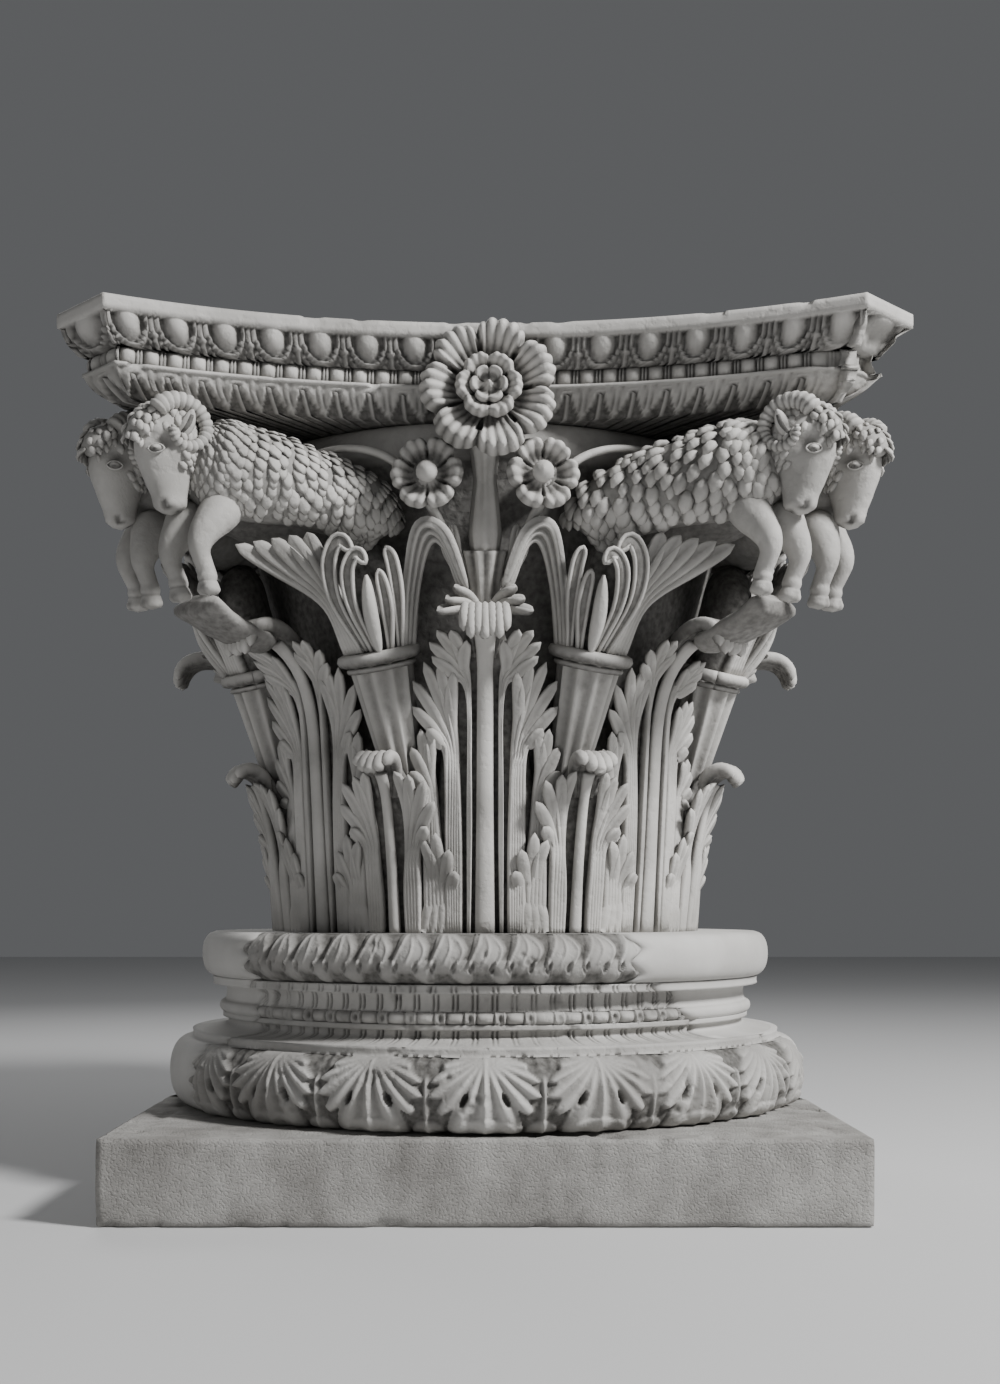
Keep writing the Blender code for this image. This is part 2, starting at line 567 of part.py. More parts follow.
def remeshed(thing):
    """Overlapping closed shapes as one skin. Swelling it and shrinking it back closes cracks too narrow to carve,
    and then it is thinned to the triangles that the form needs."""
    one_skin(moved_out(one_skin(thing), CLOSED_CRACK / 2))
    one_skin(moved_out(thing, -CLOSED_CRACK / 2))
    thin = thing.modifiers.new("fewer faces", "DECIMATE")
    thin.ratio = CARVING_TRIANGLES / (2 * len(thing.data.polygons))
    return largest_body(baked(thing))


# The abacus: four hollow sides and four cut corners, with a moulded edge and a row of eggs
SIDE_RADIUS = (ABACUS_TIP_X**2 + ABACUS_SAG**2) / (2 * ABACUS_SAG)
SIDE_CENTRE = ABACUS_TIP_Y - ABACUS_SAG + SIDE_RADIUS
CORNER_DISTANCE = (ABACUS_TIP_X + ABACUS_TIP_Y) / math.sqrt(2)
# Levels of the abacus's edge: share of its height, share of its setback, and whether the eggs stand there
ABACUS_LEVELS = [(0.0, 1.0, False), (0.10, 0.93, False), (0.29, 0.58, False), (0.34, 0.42, False),
                 (0.50, 0.42, False), (0.52, 0.36, False), (0.665, 0.20, True), (0.80, 0.05, False),
                 (0.83, 0.0, False), (1.0, 0.0, False)]
SIDE_COLUMNS = 8


def side_end(setback, corner_setback):
    """Half the length of a hollow side, where its arc meets the cut corner: x + distance = corner line."""
    radius = SIDE_RADIUS + setback
    total = (CORNER_DISTANCE - corner_setback) * math.sqrt(2)
    # (total - x) is the tip's distance from the middle: solve x^2 + (SIDE_CENTRE - total + x)^2 = radius^2
    b = SIDE_CENTRE - total
    return (-b + math.sqrt(2 * radius**2 - b**2)) / 2


def abacus_ring(height, setback_share, eggs):
    """Points round the abacus at one level. Where the eggs stand, every other point is out and the rest are in."""
    end = side_end(ABACUS_SETBACK * setback_share, CORNER_SETBACK * setback_share)
    radius = SIDE_RADIUS + ABACUS_SETBACK * setback_share
    columns = 2 * EGGS_PER_FACE if eggs else SIDE_COLUMNS
    sweep = math.asin(end / radius) * np.linspace(-1, 1, columns + 1)
    outward = np.zeros(columns + 1)
    if eggs:
        outward = EGG_RELIEF * np.where(np.arange(columns + 1) % 2 == 1, 1.0, -0.6)
    radius = radius - outward
    side = np.column_stack([radius * np.sin(sweep), radius * np.cos(sweep) - SIDE_CENTRE, np.full_like(sweep, height)])
    if eggs:
        corner = (CORNER_DISTANCE - CORNER_SETBACK * setback_share + EGG_RELIEF) / math.sqrt(2)
        side = np.vstack([side, (corner, -corner, height)])
    return np.vstack([turned_about((side, []), quarter * 90)[0] for quarter in range(4)])


def stitched(low, high, low_start, high_start):
    """Triangles between two closed rings of any counts, each step taken on the ring that lags behind."""
    turn_low = np.unwrap(np.arctan2(low[:, 1], low[:, 0]))
    turn_high = np.unwrap(np.arctan2(high[:, 1], high[:, 0]))
    turn_low = np.append(turn_low, turn_low[0] + 2 * math.pi)
    turn_high = np.append(turn_high, turn_high[0] + 2 * math.pi)
    faces, i, j = [], 0, 0
    while i < len(low) or j < len(high):
        a, b = low_start + i % len(low), high_start + j % len(high)
        if j == len(high) or (i < len(low) and turn_low[i + 1] < turn_high[j + 1]):
            i += 1
            faces.append((a, low_start + i % len(low), b))
        else:
            j += 1
            faces.append((a, high_start + j % len(high), b))
    return faces


def make_abacus():
    rings = [abacus_ring(ABACUS_FOOT + up * ABACUS_HEIGHT, share, eggs) for up, share, eggs in ABACUS_LEVELS]
    starts = np.concatenate([[0], np.cumsum([len(ring) for ring in rings])])
    faces = []
    for low, high, a, b in zip(rings, rings[1:], starts, starts[1:]):
        faces.extend(stitched(low, high, a, b))
    faces.append(tuple(range(starts[-2], starts[-1])))
    faces.append(tuple(reversed(range(len(rings[0])))))
    return mesh_object("abacus", np.vstack(rings), faces)


def largest_body(thing):
    """The object less needle-thin faces and every loose shell but the largest, such as a sealed pocket's skin."""
    built = bmesh.new()
    built.from_mesh(thing.data)
    unseen, shells = set(built.verts), []
    while unseen:
        shell, waiting = [], [unseen.pop()]
        while waiting:
            vert = waiting.pop()
            shell.append(vert)
            for edge in vert.link_edges:
                other = edge.other_vert(vert)
                if other in unseen:
                    unseen.remove(other)
                    waiting.append(other)
        shells.append(shell)
    shells.sort(key=len)
    bmesh.ops.delete(built, geom=[vert for shell in shells[:-1] for vert in shell], context="VERTS")
    bmesh.ops.dissolve_degenerate(built, dist=SHORTEST_EDGE, edges=built.edges[:])
    built.to_mesh(thing.data)
    built.free()
    return thing


def united(body, others):
    """body with the others joined on by Boolean unions, which are then removed."""
    for other in others:
        union = body.modifiers.new("joined", "BOOLEAN")
        union.operation = "UNION"
        union.solver = "EXACT"
        union.object = other
        baked(body)
        bpy.data.objects.remove(other)
    return body


def cut_flat(thing, height, keep_above):
    """Cuts a solid off at a height and closes it with a flat face."""
    built = bmesh.new()
    built.from_mesh(thing.data)
    everything = built.verts[:] + built.edges[:] + built.faces[:]
    cut = bmesh.ops.bisect_plane(built, geom=everything, dist=1e-6, plane_co=(0, 0, height), plane_no=(0, 0, 1),
                                 clear_inner=keep_above, clear_outer=not keep_above)
    rim = [e for e in cut["geom_cut"] if isinstance(e, bmesh.types.BMEdge)]
    bmesh.ops.contextual_create(built, geom=rim)
    bmesh.ops.recalc_face_normals(built, faces=built.faces[:])
    built.to_mesh(thing.data)
    built.free()
    return thing


def make_capital():
    bell = make_bell()
    graph_points = np.array([v.co[:] for v in bell.data.vertices])
    bell_shape = (graph_points, [tuple(p.vertices) for p in bell.data.polygons])
    bpy.data.objects.remove(bell)
    points, faces = joined([bell_shape, carving_shapes()])
    carving = mesh_object("capital", points + (0, 0, CAPITAL_FOOT), faces)
    remeshed(carving)
    largest_body(united(carving, [make_abacus()]))
    cut_flat(carving, CAPITAL_TOP, keep_above=False)
    cut_flat(carving, CAPITAL_FOOT, keep_above=True)
    carving.data.materials.clear()
    carving.data.materials.append(stone_material("marble", STONE, 0.8))
    carving.data.shade_smooth()
    carving.data.set_sharp_from_angle(angle=math.radians(35))
    return carving


make_plinth()
make_base()
make_capital()
print("capital triangles", sum(len(p.vertices) - 2 for p in bpy.data.objects["capital"].data.polygons))
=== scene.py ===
# %% [markdown]
# # A capital with leaping rams
#
# A lesson in dressing a plain solid model with fine stone carving. The solid model is the fixed frame: it
# gives the size, the places and the names. Every piece below stands for one of its nodes, and is built
# whole as arrays.
#
# Metres, +Z up. The front of the capital faces -Y. Round the axis an angle is measured from the front
# towards +X.

# %% Load the frame
import math

import bpy
import numpy as np
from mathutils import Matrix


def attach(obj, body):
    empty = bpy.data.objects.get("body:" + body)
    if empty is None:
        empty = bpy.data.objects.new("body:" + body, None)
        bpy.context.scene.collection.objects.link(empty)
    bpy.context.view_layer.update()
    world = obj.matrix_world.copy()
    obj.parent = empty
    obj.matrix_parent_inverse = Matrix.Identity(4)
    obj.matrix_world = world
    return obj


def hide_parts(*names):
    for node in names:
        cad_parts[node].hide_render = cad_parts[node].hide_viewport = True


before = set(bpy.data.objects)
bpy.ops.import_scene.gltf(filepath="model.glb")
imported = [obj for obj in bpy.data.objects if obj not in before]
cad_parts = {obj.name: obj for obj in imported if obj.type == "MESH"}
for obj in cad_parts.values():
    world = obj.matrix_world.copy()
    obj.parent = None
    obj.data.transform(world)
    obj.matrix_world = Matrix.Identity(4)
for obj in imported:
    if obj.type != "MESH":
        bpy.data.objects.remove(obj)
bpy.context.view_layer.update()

# %% [markdown]
# ## Curves and noise
#
# A carving follows curves. `curve` passes smoothly through a few named points. `noise` gives each point a
# value from -1 to 1 that changes softly over a given size: it joins random values at the corners of a grid
# of cubes.


# %% Curves and noise
def unit(vectors):
    return vectors / np.maximum(np.linalg.norm(vectors, axis=-1, keepdims=True), 1e-9)


def curve(points, count):
    """Catmull-Rom: at each point the slope is half the chord between the points on either side."""
    points = np.asarray(points, float)
    ends = np.vstack([2 * points[0] - points[1], points, 2 * points[-1] - points[-2]])
    place = np.linspace(0, len(points) - 1, count)
    span = np.minimum(place.astype(int), len(points) - 2)
    u = (place - span)[:, None]
    a, b, c, d = (ends[span + k] for k in range(4))
    return 0.5 * (2 * b + (c - a) * u + (2 * a - 5 * b + 4 * c - d) * u**2 + (3 * b - a - 3 * c + d) * u**3)


def smooth(x):
    """0 below 0, 1 above 1, and the curve 3x^2 - 2x^3 between."""
    x = np.clip(x, 0, 1)
    return x * x * (3 - 2 * x)


def ridge(x, wide):
    """1 where x is 0, falling away on both sides: e to the minus square of x over the width."""
    return np.exp(-((x / wide) ** 2))


def dot(x, y, wide, high):
    """1 in the middle of an oval spot, falling to 0 at its rim."""
    return np.clip(1 - (x / wide) ** 2 - (y / high) ** 2, 0, 1)


def spread_over(count, values):
    """Values named at even steps, read at count even steps."""
    return np.interp(np.linspace(0, 1, count), np.linspace(0, 1, len(values)), values)


def circle(count):
    """Angles at even steps round a circle."""
    return np.arange(count) * 2 * math.pi / count


def round_axis(angle, radius, height):
    """Places at an angle from the front, a distance from the axis and a height."""
    return np.stack([radius * np.sin(angle), -radius * np.cos(angle), height], -1)


def corner_value(cell, seed):
    """A fixed pseudo-random value from -1 to 1 for each whole-numbered corner."""
    mixed = cell[..., 0] * 73856093 ^ cell[..., 1] * 19349663 ^ cell[..., 2] * 83492791 ^ seed * 2654435761
    mixed = (mixed ^ (mixed >> 13)) * 1274126177 & 0x7FFFFFFF
    return (mixed ^ (mixed >> 15)) % 65536 / 32767.5 - 1


def noise(points, size, seed=1):
    """Value noise: the eight corner values of a point's cube, blended by its smoothed place in the cube."""
    place = np.asarray(points) / size
    cell = np.floor(place).astype(np.int64)
    u = smooth(place - cell)
    total = 0
    for corner in np.ndindex(2, 2, 2):
        corner = np.array(corner)
        share = np.prod(np.where(corner == 1, u, 1 - u), axis=-1)
        total = total + share * corner_value(cell + corner, seed)
    return total


def rough(points, size, seed=1):
    """Three sizes of noise, each half as large and half as strong as the one before."""
    return sum(noise(points, size / 2**k, seed + k) / 2**k for k in range(3)) / 1.75


print("noise at one point", round(float(noise(np.array([0.1, 0.2, 0.3]), 0.05)), 3))

# %% [markdown]
# ## Shapes
#
# A shape is three things: points, faces, and for each point its painted shade, from 0 on a ridge to 1 in a
# groove. The stone darkens by that last number later. A face with three corners has -1 as its fourth.
#
# `loft` joins closed rings of points one after another and closes both ends. `tube` makes such rings round
# a path.


# %% Shapes
def loft(rings, painted_shade):
    """A closed body through rings, an array of (rings, points, 3). A point in the middle of each end ring
    closes it."""
    count, sides = rings.shape[:2]
    first = np.arange(count - 1)[:, None] * sides + np.arange(sides)
    after = np.arange(count - 1)[:, None] * sides + (np.arange(sides) + 1) % sides
    quads = np.stack([first, after, after + sides, first + sides], -1).reshape(-1, 4)
    low, high = count * sides, count * sides + 1
    k = np.arange(sides)
    none = np.full(sides, -1)
    bottom = np.stack([(k + 1) % sides, k, np.full(sides, low), none], -1)
    top = np.stack([k, (k + 1) % sides, np.full(sides, high), none], -1) + [low - sides, low - sides, 0, 0]
    faces = np.vstack([quads, bottom, top])
    points = np.vstack([rings.reshape(-1, 3), rings[0].mean(axis=0), rings[-1].mean(axis=0)])
    painted_shade = np.append(np.broadcast_to(painted_shade, (count, sides)).reshape(-1), [0.5, 0.5])
    return outward((points, faces, painted_shade))


def flipped(faces):
    """The same faces seen from behind."""
    turned_round = faces[:, ::-1].copy()
    three = faces[:, 3] < 0
    turned_round[three] = np.roll(turned_round[three], -1, axis=1)
    return turned_round


def outward(shape):
    """The shape with its faces pointing out: a body whose signed volume is negative is inside out."""
    points, faces, painted_shade = shape
    fourth = np.where(faces[:, 3] < 0, faces[:, 2], faces[:, 3])
    a, b, c, d = points[faces[:, 0]], points[faces[:, 1]], points[faces[:, 2]], points[fourth]
    volume = (np.cross(a, b) * c).sum() + (np.cross(a, c) * d).sum()
    return points, faces if volume > 0 else flipped(faces), painted_shade


def ring_frame(path, lift):
    """The directions across and up from each point of a path."""
    along = unit(np.gradient(path, axis=0))
    across = unit(np.cross(along, np.broadcast_to(np.asarray(lift, float), path.shape)))
    return along, across, unit(np.cross(across, along))


def tube(path, lift, wide, high, sides, relief=0.0):
    """A body of elliptic section along a path. lift is the way its height stands, and relief is added all
    round. The flanks get some painted shade and the back the most, for the shade beside and under a rib."""
    path = np.asarray(path, float)
    along, across, lift = ring_frame(path, lift)
    wide = np.broadcast_to(wide, (len(path),))[:, None]
    high = np.broadcast_to(high, (len(path),))[:, None]
    turn = circle(sides)
    c, s = np.cos(turn)[None, :], np.sin(turn)[None, :]
    rings = (path[:, None] + ((wide + relief) * c)[..., None] * across[:, None]
             + ((high + relief) * s)[..., None] * lift[:, None])
    # painted shade: none on the top, some on the flanks, full at the back
    return loft(rings, np.clip(0.45 - 0.75 * s, 0, 1))


def shaded(shape, painted_shade, ends=None):
    """The same body with the painted shade it is told: one number for all of it, or one for each point of its
    rings and one for its two ends."""
    if ends is None:
        return shape[0], shape[1], np.full(len(shape[0]), float(painted_shade))
    return shape[0], shape[1], np.append(np.asarray(painted_shade).reshape(-1), [ends, ends])


def channelled(path, lift, wide, high, depth):
    """A tube of eight sides whose upper side is sunk to a channel between two rims."""
    depth = np.broadcast_to(depth, (len(path),))[:, None]
    points, faces, painted_shade = tube(path, lift, wide, high, 8, -depth * np.array([0, -0.2, 1, -0.2, 0, 0, 0, 0]))
    # painted shade in the sunk channel, darker where it is deeper
    sunk = np.clip(depth / 0.008, 0, 1) * np.array([0, 0, 0.8, 0, 0, 0, 0, 0])
    return points, faces, np.maximum(painted_shade, np.append(sunk.reshape(-1), [0, 0]))


def round_ends(count, start, end):
    """Widths along a path that close with a round at either end, over the given share of the path."""
    v = np.linspace(0, 1, count)
    head = np.clip((v - (1 - end)) / max(end, 1e-6), 0, 1) if end else 0 * v
    foot = np.clip((start - v) / max(start, 1e-6), 0, 1) if start else 0 * v
    return np.sqrt(np.clip(1 - np.maximum(head, foot) ** 2, 0.0004, 1))


def blunt(grown, power, least):
    """Nearly 1 along most of a path, then closing: the root of 1 less a high power of the way."""
    return np.sqrt(np.clip(1 - grown**power, least, 1))


def joined(shapes):
    """Several shapes as one."""
    starts = np.cumsum([0] + [len(shape[0]) for shape in shapes[:-1]])
    faces = [np.where(shape[1] < 0, -1, shape[1] + start) for shape, start in zip(shapes, starts)]
    return np.vstack([shape[0] for shape in shapes]), np.vstack(faces), np.concatenate([s[2] for s in shapes])


def turned(shape, degrees):
    """The shape turned about the axis, from the front towards +X."""
    c, s = math.cos(math.radians(degrees)), math.sin(math.radians(degrees))
    return shape[0] @ np.array([[c, s, 0], [-s, c, 0], [0, 0, 1]]), shape[1], shape[2]


def mirrored(shape):
    """The shape's mirror image across the front face's middle."""
    return shape[0] * (-1, 1, 1), flipped(shape[1]), shape[2]


def all_round(shape, pair=True):
    """The shape on all four faces, with its mirror image on each if it is one of a pair."""
    both = joined([shape, mirrored(shape)]) if pair else shape
    return joined([turned(both, quarter * 90) for quarter in range(4)])


# %% [markdown]
# ## Stone
#
# Two node groups are shared by all the stones: one gives a mottled colour with painted shade in the hollows,
# the other a grain that roughens the surface. Every material keeps its own shader, so its finish can be
# changed alone.


# %% Node groups
def node_group(name, takes, gives):
    group = bpy.data.node_groups.new(name, "ShaderNodeTree")
    for label, kind in takes:
        group.interface.new_socket(label, in_out="INPUT", socket_type="NodeSocket" + kind)
    for label, kind in gives:
        group.interface.new_socket(label, in_out="OUTPUT", socket_type="NodeSocket" + kind)
    return group, group.nodes.new("NodeGroupInput"), group.nodes.new("NodeGroupOutput")


def add_node(tree, kind, inputs, **settings):
    """A node of a kind. An input that is another node's socket is linked, and a value is set."""
    node = tree.nodes.new("ShaderNode" + kind)
    for name, value in settings.items():
        setattr(node, name, value)
    for label, value in inputs.items():
        if isinstance(value, bpy.types.NodeSocket):
            tree.links.new(value, node.inputs[label])
        else:
            node.inputs[label].default_value = value
    return node


def noise_between(tree, vector, scale, detail, limits, spread):
    """Noise whose values between two limits are spread from one value to another."""
    noisy = add_node(tree, "TexNoise", {"Vector": vector, "Scale": scale, "Detail": detail}).outputs["Fac"]
    ranges = {"From Min": limits[0], "From Max": limits[1], "To Min": spread[0], "To Max": spread[1]}
    return add_node(tree, "MapRange", {"Value": noisy, **ranges}).outputs["Result"]


def add_math(tree, operation, first, second):
    return add_node(tree, "Math", {0: first, 1: second}, operation=operation).outputs["Value"]


MIX_SHARE, MIX_FIRST, MIX_SECOND, MIX_RESULT = 0, 6, 7, 2


def add_mix(tree, share, first, second):
    """A mix of two colours. The Mix node has sockets for all kinds of data, and these are the colours'."""
    sockets = {MIX_SHARE: share, MIX_FIRST: first, MIX_SECOND: second}
    return add_node(tree, "Mix", sockets, data_type="RGBA").outputs[MIX_RESULT]


def weathered_and_shaded_colour_group():
    """Clean colour to worn colour by large soft blotches, then towards a dark colour as painted shade, as far
    as each point's painted shade number says.
    """
    takes = [("Clean", "Color"), ("Worn", "Color"), ("Shade Colour", "Color"), ("Shade Strength", "Float"),
             ("Vector", "Vector"), ("Painted Shade", "Float")]
    tree, taken, given = node_group("weathered colour and painted shade", takes, [("Color", "Color")])
    clean, worn, shade_colour, shade_strength, vector, painted_shade = (taken.outputs[label] for label, _ in takes)
    blotch = noise_between(tree, vector, 7.0, 6.0, (0.38, 0.66), (0.0, 1.0))
    speck = noise_between(tree, vector, 90.0, 5.0, (0.35, 0.70), (0.82, 1.14))
    # painted shade: each point mixed towards the dark colour by its painted shade number, speckled by noise
    shade_share = add_math(tree, "MULTIPLY", add_math(tree, "MULTIPLY", painted_shade, shade_strength), speck)
    shade_share = add_math(tree, "MINIMUM", shade_share, 1.0)
    stone_colour = add_mix(tree, blotch, clean, worn)
    tree.links.new(add_mix(tree, shade_share, stone_colour, shade_colour), given.inputs["Color"])
    return tree


def stone_grain_group():
    """A height for the bump: fine crystal grain, with soft pits of a larger size."""
    tree, taken, given = node_group("stone grain", [("Vector", "Vector"), ("Pit Scale", "Float")],
                                    [("Height", "Float")])
    vector, pit_scale = taken.outputs["Vector"], taken.outputs["Pit Scale"]
    grain = add_node(tree, "TexNoise", {"Vector": vector, "Scale": 420.0, "Detail": 3.0}).outputs["Fac"]
    pitted = noise_between(tree, vector, pit_scale, 5.0, (0.30, 0.52), (0.0, 1.0))
    height = add_math(tree, "ADD", add_math(tree, "MULTIPLY", grain, 0.25), pitted)
    tree.links.new(height, given.inputs["Height"])
    return tree


WEATHERED_AND_SHADED = weathered_and_shaded_colour_group()
GRAIN = stone_grain_group()
print("node groups:", WEATHERED_AND_SHADED.name, "and", GRAIN.name)


# %% Materials
def stone(name, clean, worn, shade_colour, shade_strength, pit_scale, bump_depth, roughness):
    """A material of the two groups: the colours as (red, green, blue), and the bump's depth in metres."""
    material = bpy.data.materials.new(name)
    material.use_nodes = True
    tree = material.node_tree
    shader = tree.nodes["Principled BSDF"]
    place = add_node(tree, "TexCoord", {}).outputs["Object"]
    painted_shade = add_node(tree, "Attribute", {}, attribute_name="painted_shade").outputs["Fac"]
    colours = {label: (*value, 1.0) for label, value in (("Clean", clean), ("Worn", worn), ("Shade Colour", shade_colour))}
    colour = add_node(tree, "Group", {}, node_tree=WEATHERED_AND_SHADED)
    grain = add_node(tree, "Group", {}, node_tree=GRAIN)
    for node, values in ((colour, colours | {"Shade Strength": shade_strength}), (grain, {"Pit Scale": pit_scale})):
        for label, value in values.items():
            node.inputs[label].default_value = value
        tree.links.new(place, node.inputs["Vector"])
    tree.links.new(painted_shade, colour.inputs["Painted Shade"])
    bump = add_node(tree, "Bump",
                    {"Strength": 0.6, "Distance": bump_depth, "Height": grain.outputs["Height"]})
    tree.links.new(colour.outputs["Color"], shader.inputs["Base Color"])
    tree.links.new(bump.outputs["Normal"], shader.inputs["Normal"])
    shader.inputs["Roughness"].default_value = roughness
    shader.inputs["Specular IOR Level"].default_value = 0.3
    return material


# The third colour of each stone is the dark colour of its painted shade, and the share after it says how far
# the most shaded points go towards it.
MARBLE = stone("marble", (0.56, 0.545, 0.52), (0.38, 0.37, 0.35), (0.050, 0.047, 0.043),
               shade_strength=0.84, pit_scale=60.0, bump_depth=0.0012, roughness=0.72)
OLD_STONE = stone("old carved stone", (0.47, 0.46, 0.44), (0.31, 0.30, 0.285), (0.055, 0.052, 0.047),
                  shade_strength=0.84, pit_scale=70.0, bump_depth=0.0015, roughness=0.80)
PLASTER = stone("restoration", (0.55, 0.54, 0.52), (0.47, 0.46, 0.44), (0.25, 0.24, 0.23),
                shade_strength=0.35, pit_scale=25.0, bump_depth=0.0006, roughness=0.75)
ROUGH_STONE = stone("rough stone", (0.43, 0.42, 0.40), (0.27, 0.26, 0.245), (0.07, 0.066, 0.06),
                    shade_strength=0.75, pit_scale=240.0, bump_depth=0.0024, roughness=0.9)
print("stones:", ", ".join(each.name for each in (MARBLE, OLD_STONE, PLASTER, ROUGH_STONE)))

# %% [markdown]
# ## A piece from a shape
#
# Whole arrays go into the mesh at once. The number for painted shade becomes an attribute that the stone
# reads, and each piece says which body it rides on, which node it stands for and which finish it has.


# %% A piece from a shape
def piece(name, shape, foot, node, material):
    """A piece of the scene from a shape whose heights are counted from a foot."""
    points, faces, painted_shade = shape
    corners = faces.reshape(-1)
    counts = np.where(faces[:, 3] < 0, 3, 4)
    mesh = bpy.data.meshes.new(name)
    mesh.vertices.add(len(points))
    mesh.vertices.foreach_set("co", (points + (0, 0, foot)).reshape(-1))
    mesh.loops.add(int(counts.sum()))
    mesh.loops.foreach_set("vertex_index", corners[corners >= 0].astype(np.int32))
    mesh.polygons.add(len(faces))
    mesh.polygons.foreach_set("loop_start", (np.cumsum(counts) - counts).astype(np.int32))
    mesh.polygons.foreach_set("use_smooth", np.ones(len(faces), bool))
    mesh.update(calc_edges=True)
    mesh.validate()
    mesh.attributes.new("painted_shade", "FLOAT", "POINT").data.foreach_set("value", np.clip(painted_shade, 0, 1))
    mesh.materials.append(material)
    thing = bpy.data.objects.new(name, mesh)
    bpy.context.scene.collection.objects.link(thing)
    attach(thing, "root")
    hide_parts(node)
    low, high = points.min(axis=0), points.max(axis=0)
    print(f"{name}: {int((counts - 2).sum())} triangles, {np.round(high - low, 3)} m")


# %% [markdown]
# ## The plinth
#
# Square rings, one over another, make the slab. The noise pushes its faces in and out: long for the mason's
# strokes, short for pits.

# %% Plinth
PLINTH_HALF = 0.61
PLINTH_HEIGHT = 0.142
PLINTH_ROWS = 18
EDGE_WEAR = 0.010


def square_ring(half, count):
    """Points round a square, evenly, starting at the middle of the front."""
    way = (np.arange(4 * count) / count + 0.5) % 4
    side, along = way.astype(int), (way % 1) * 2 - 1
    x = np.choose(side, [along, 1 + 0 * along, -along, -1 + 0 * along])
    y = np.choose(side, [-1 + 0 * along, along, 1 + 0 * along, -along])
    return np.column_stack([x, y]) * half


def plinth_shape():
    """Rings run from the underside's middle out to its rim, up the sides and in over the top. Each point is
    then pushed in: everywhere by the tooling, and near the rims by wear and chips."""
    under = np.linspace(0.02, 0.985, 5)
    over = np.append(np.linspace(0.99, 0.66, PLINTH_ROWS), [0.3, 0.02])
    inward = np.concatenate([under, np.ones(PLINTH_ROWS), over])
    rise = np.linspace(0.003, PLINTH_HEIGHT - 0.003, PLINTH_ROWS)
    up = np.concatenate([0 * under, rise, PLINTH_HEIGHT + 0 * over])
    flat = square_ring(PLINTH_HALF, 104)[None] * inward[:, None, None]
    rings = np.concatenate([flat, np.broadcast_to(up[:, None, None], (*flat.shape[:2], 1))], -1)
    tooled = noise(rings * (1, 1, 0.35), 0.022, 3) * 0.5 + rough(rings, 0.011, 8) * 0.5
    chipped = smooth((rough(rings, 0.04, 20) - 0.16) * 4)
    edge = np.exp(-np.minimum(up, PLINTH_HEIGHT - up)[:, None] / EDGE_WEAR) * (inward[:, None] > 0.9)
    depth = 0.0011 * (1 - tooled) + EDGE_WEAR * chipped * edge + 0.002 * edge
    side = (inward == 1.0)[:, None, None]
    push = depth[..., None] * np.where(side, unit(rings * (1, 1, 0)), (0, 0, 1))
    sunk = rings - push * (up > 0)[:, None, None]
    # painted shade: darker where the tooling sinks the faces deeper, and in the chips along the rims
    return loft(sunk, np.clip(0.35 - 0.4 * tooled + 0.3 * chipped * edge, 0, 1))


piece("plinth_slab", plinth_shape(), 0.0, "plinth", ROUGH_STONE)

# %% [markdown]
# ## The base
#
# The base is a profile turned about the axis. `base_profile` gives the radius at every height and the band
# that the height belongs to. The old stone adds relief to it: leaves on the lower torus, flutes in the
# hollows, beads on the astragal and a double row of leaves on the upper torus. The restored stone is the
# same profile left plain.

# %% Base
BASE_FOOT = 0.1423
TORUS_LOW, FILLET_C, SCOTIA_LOW, FILLET_B, ASTRAGAL, SCOTIA_HIGH, FILLET_A, TORUS_HIGH = range(8)
BAND_HEIGHTS = (0.120, 0.015, 0.023, 0.009, 0.021, 0.031, 0.014, 0.083)
BAND_ROWS = (42, 4, 7, 4, 8, 7, 5, 30)
BAND_BREAKS = ((-58.0, 78.0), (-53.0, 62.0), (-53.0, 47.0), (-53.0, 44.0), (-53.0, 43.0), (-53.0, 40.0),
               (-52.0, 34.0), (-50.0, 27.5))
BASE_LEAVES = 20
BASE_FLUTES = 96
BASE_BEADS = 64
TORUS_LOBES = 54
BASE_CORE = 0.40


def base_profile():
    """Rows up the base: radius, height, band and the row's place in its band from 0 to 1."""
    rows, foot = [], 0.0
    for band, (height, count) in enumerate(zip(BAND_HEIGHTS, BAND_ROWS)):
        v = np.linspace(0.0, 1.0, count) * 0.996 + 0.002
        swell = np.sin(v * math.pi)
        around = np.sqrt(np.clip(1 - (2 * v - 1) ** 2, 0, 1))
        flare = 0.060 * np.clip(0.45 - v, 0, 1) ** 1.5 * 3
        radius = [0.564 + 0.042 * around, 0.558 - 0.001 * swell, 0.4915 + flare, 0.5015 + 0 * v,
                  0.4995 + 0.008 * around, 0.497 - 0.003 * swell, 0.520 - 0.001 * swell,
                  0.512 + 0.034 * around][band]
        rows.append(np.column_stack([radius, foot + v * height, np.full(count, band), v]))
        foot += height
    return np.vstack(rows)


def repeat(angle, count):
    """How far an angle lies from its unit's middle, -0.5 to 0.5, where count units go all round."""
    return (angle * count / (2 * math.pi) + 0.5) % 1 - 0.5


